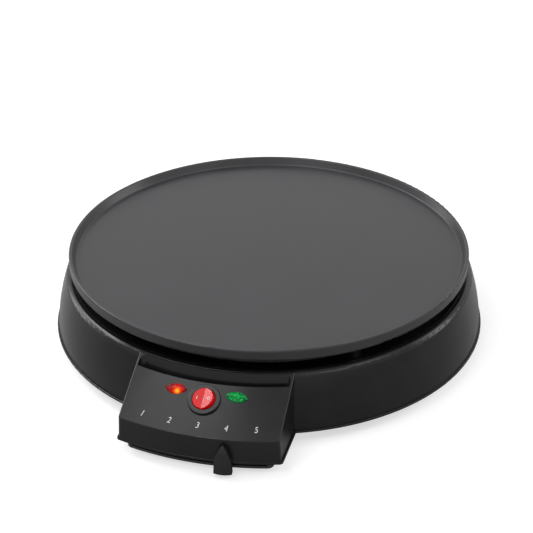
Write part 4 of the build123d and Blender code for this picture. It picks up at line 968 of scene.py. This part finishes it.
@dataclass
class SoftBox:
    """A large rectangular studio lamp that points at the object."""

    name: str
    azimuth: float
    elevation: float
    distance: float
    width: float
    depth: float
    radiance: float
    target: Triple = (0.0, 0.0, 0.03)

    def build(self) -> None:
        """Adds the lamp."""
        away = raised(self.azimuth, self.elevation)
        lamp = bpy.data.lights.new(self.name, "AREA")
        lamp.shape = "RECTANGLE"
        lamp.size, lamp.size_y = self.width, self.depth
        lamp.energy = self.radiance * math.pi * self.width * self.depth
        holder = bpy.data.objects.new(self.name, lamp)
        holder.location = Vector(self.target) + away * self.distance
        holder.rotation_euler = away.to_track_quat("Z", "Y").to_euler()
        bpy.context.scene.collection.objects.link(holder)


@dataclass
class Studio:
    """The pale floor, the white surroundings and the lamps."""

    floor_size: float = 8.0
    floor_segments: int = 64
    ambient: float = 0.38
    seen_white: float = 1.0
    floor_glow: float = 0.62
    floor_paint: tuple[Colour, Colour] = ((0.54, 0.54, 0.54), (0.56, 0.56, 0.56))
    floor_grain: float = 60.0
    lamps: tuple[SoftBox, ...] = (
        SoftBox("left_high", -102.0, 41.0, 1.7, 0.7, 0.3, 12.0),
        SoftBox("left_low", -108.0, 20.0, 1.7, 0.45, 0.9, 4.6),
        SoftBox("overhead", -95.0, 72.0, 1.6, 0.8, 0.7, 3.3),
        SoftBox("front_top", -17.0, 48.0, 1.8, 0.7, 0.3, 9.0),
        SoftBox("right_high", 64.0, 50.0, 1.8, 0.8, 0.7, 2.4),
        SoftBox("right_rim", 113.0, 26.0, 1.8, 0.5, 1.0, 5.0),
    )

    def build_world(self) -> None:
        """White where it is seen or mirrored, and a dimmer plain light elsewhere."""
        world = bpy.data.worlds.new("surroundings")
        bpy.context.scene.world = world
        world.use_nodes = True
        nodes, links = world.node_tree.nodes, world.node_tree.links
        nodes.clear()
        path = nodes.new("ShaderNodeLightPath")
        seen = path.outputs["Is Camera Ray"]
        for ray in ("Is Glossy Ray", "Is Transmission Ray"):
            either = nodes.new("ShaderNodeMath")
            either.operation = "MAXIMUM"
            links.new(seen, either.inputs[0])
            links.new(path.outputs[ray], either.inputs[1])
            seen = either.outputs[0]
        blend = nodes.new("ShaderNodeMixShader")
        links.new(seen, blend.inputs["Fac"])
        for number, strength in enumerate((self.ambient, self.seen_white), start=1):
            light = nodes.new("ShaderNodeBackground")
            light.inputs["Color"].default_value = (1.0, 1.0, 1.0, 1.0)
            light.inputs["Strength"].default_value = strength
            links.new(light.outputs[0], blend.inputs[number])
        output = nodes.new("ShaderNodeOutputWorld")
        links.new(blend.outputs[0], output.inputs["Surface"])

    def build_floor(self) -> None:
        """A pale floor that keeps the object's shadow, and isn't seen from beneath."""
        mesh = bmesh.new()
        bmesh.ops.create_circle(mesh, cap_ends=True, segments=self.floor_segments, radius=self.floor_size)
        data = bpy.data.meshes.new("floor")
        mesh.to_mesh(data)
        mesh.free()
        floor = bpy.data.objects.new("floor", data)
        bpy.context.scene.collection.objects.link(floor)
        recipe = Recipe("floor")
        path = recipe.tree.nodes.new("ShaderNodeLightPath")
        seen = Link(recipe, path.outputs["Is Camera Ray"])
        grain = recipe.noise(recipe.place(), self.floor_grain, Detail.BROKEN)
        paint = recipe.mix(grain, *self.floor_paint)
        matte = recipe.add("ShaderNodeBsdfDiffuse", None, {"Color": paint})
        glow = recipe.add("ShaderNodeEmission", None, {"Strength": seen * self.floor_glow})
        both = recipe.add("ShaderNodeAddShader", None, {0: matte, 1: glow})
        beneath = recipe.add("ShaderNodeNewGeometry", output="Backfacing")
        clear = recipe.add("ShaderNodeBsdfTransparent")
        surface = recipe.add("ShaderNodeMixShader", None, {0: beneath * seen, 1: both, 2: clear})
        recipe.tree.links.new(surface.socket, recipe.output.inputs["Surface"])
        data.materials.append(recipe.material)

    def build(self) -> None:
        """Sets up the whole studio."""
        scene = bpy.context.scene
        scene.view_settings.view_transform = "Standard"
        self.build_world()
        self.build_floor()
        for lamp in self.lamps:
            lamp.build()


def main() -> None:
    """Builds the studio and every piece."""
    logging.basicConfig(level=logging.INFO, format="%(message)s")
    Viewpoint().build()
    Studio().build()
    parts = CadParts()
    parts.build()
    parts.dress()
    DialNumbers().dress()
    RockerMarks().dress()
    JewelCrown("red_crown", "red_clear", -LENS_AZIMUTH).dress(parts.materials)
    JewelCrown("green_crown", "green_clear", LENS_AZIMUTH).dress(parts.materials)


if __name__ == "__main__":
    main()
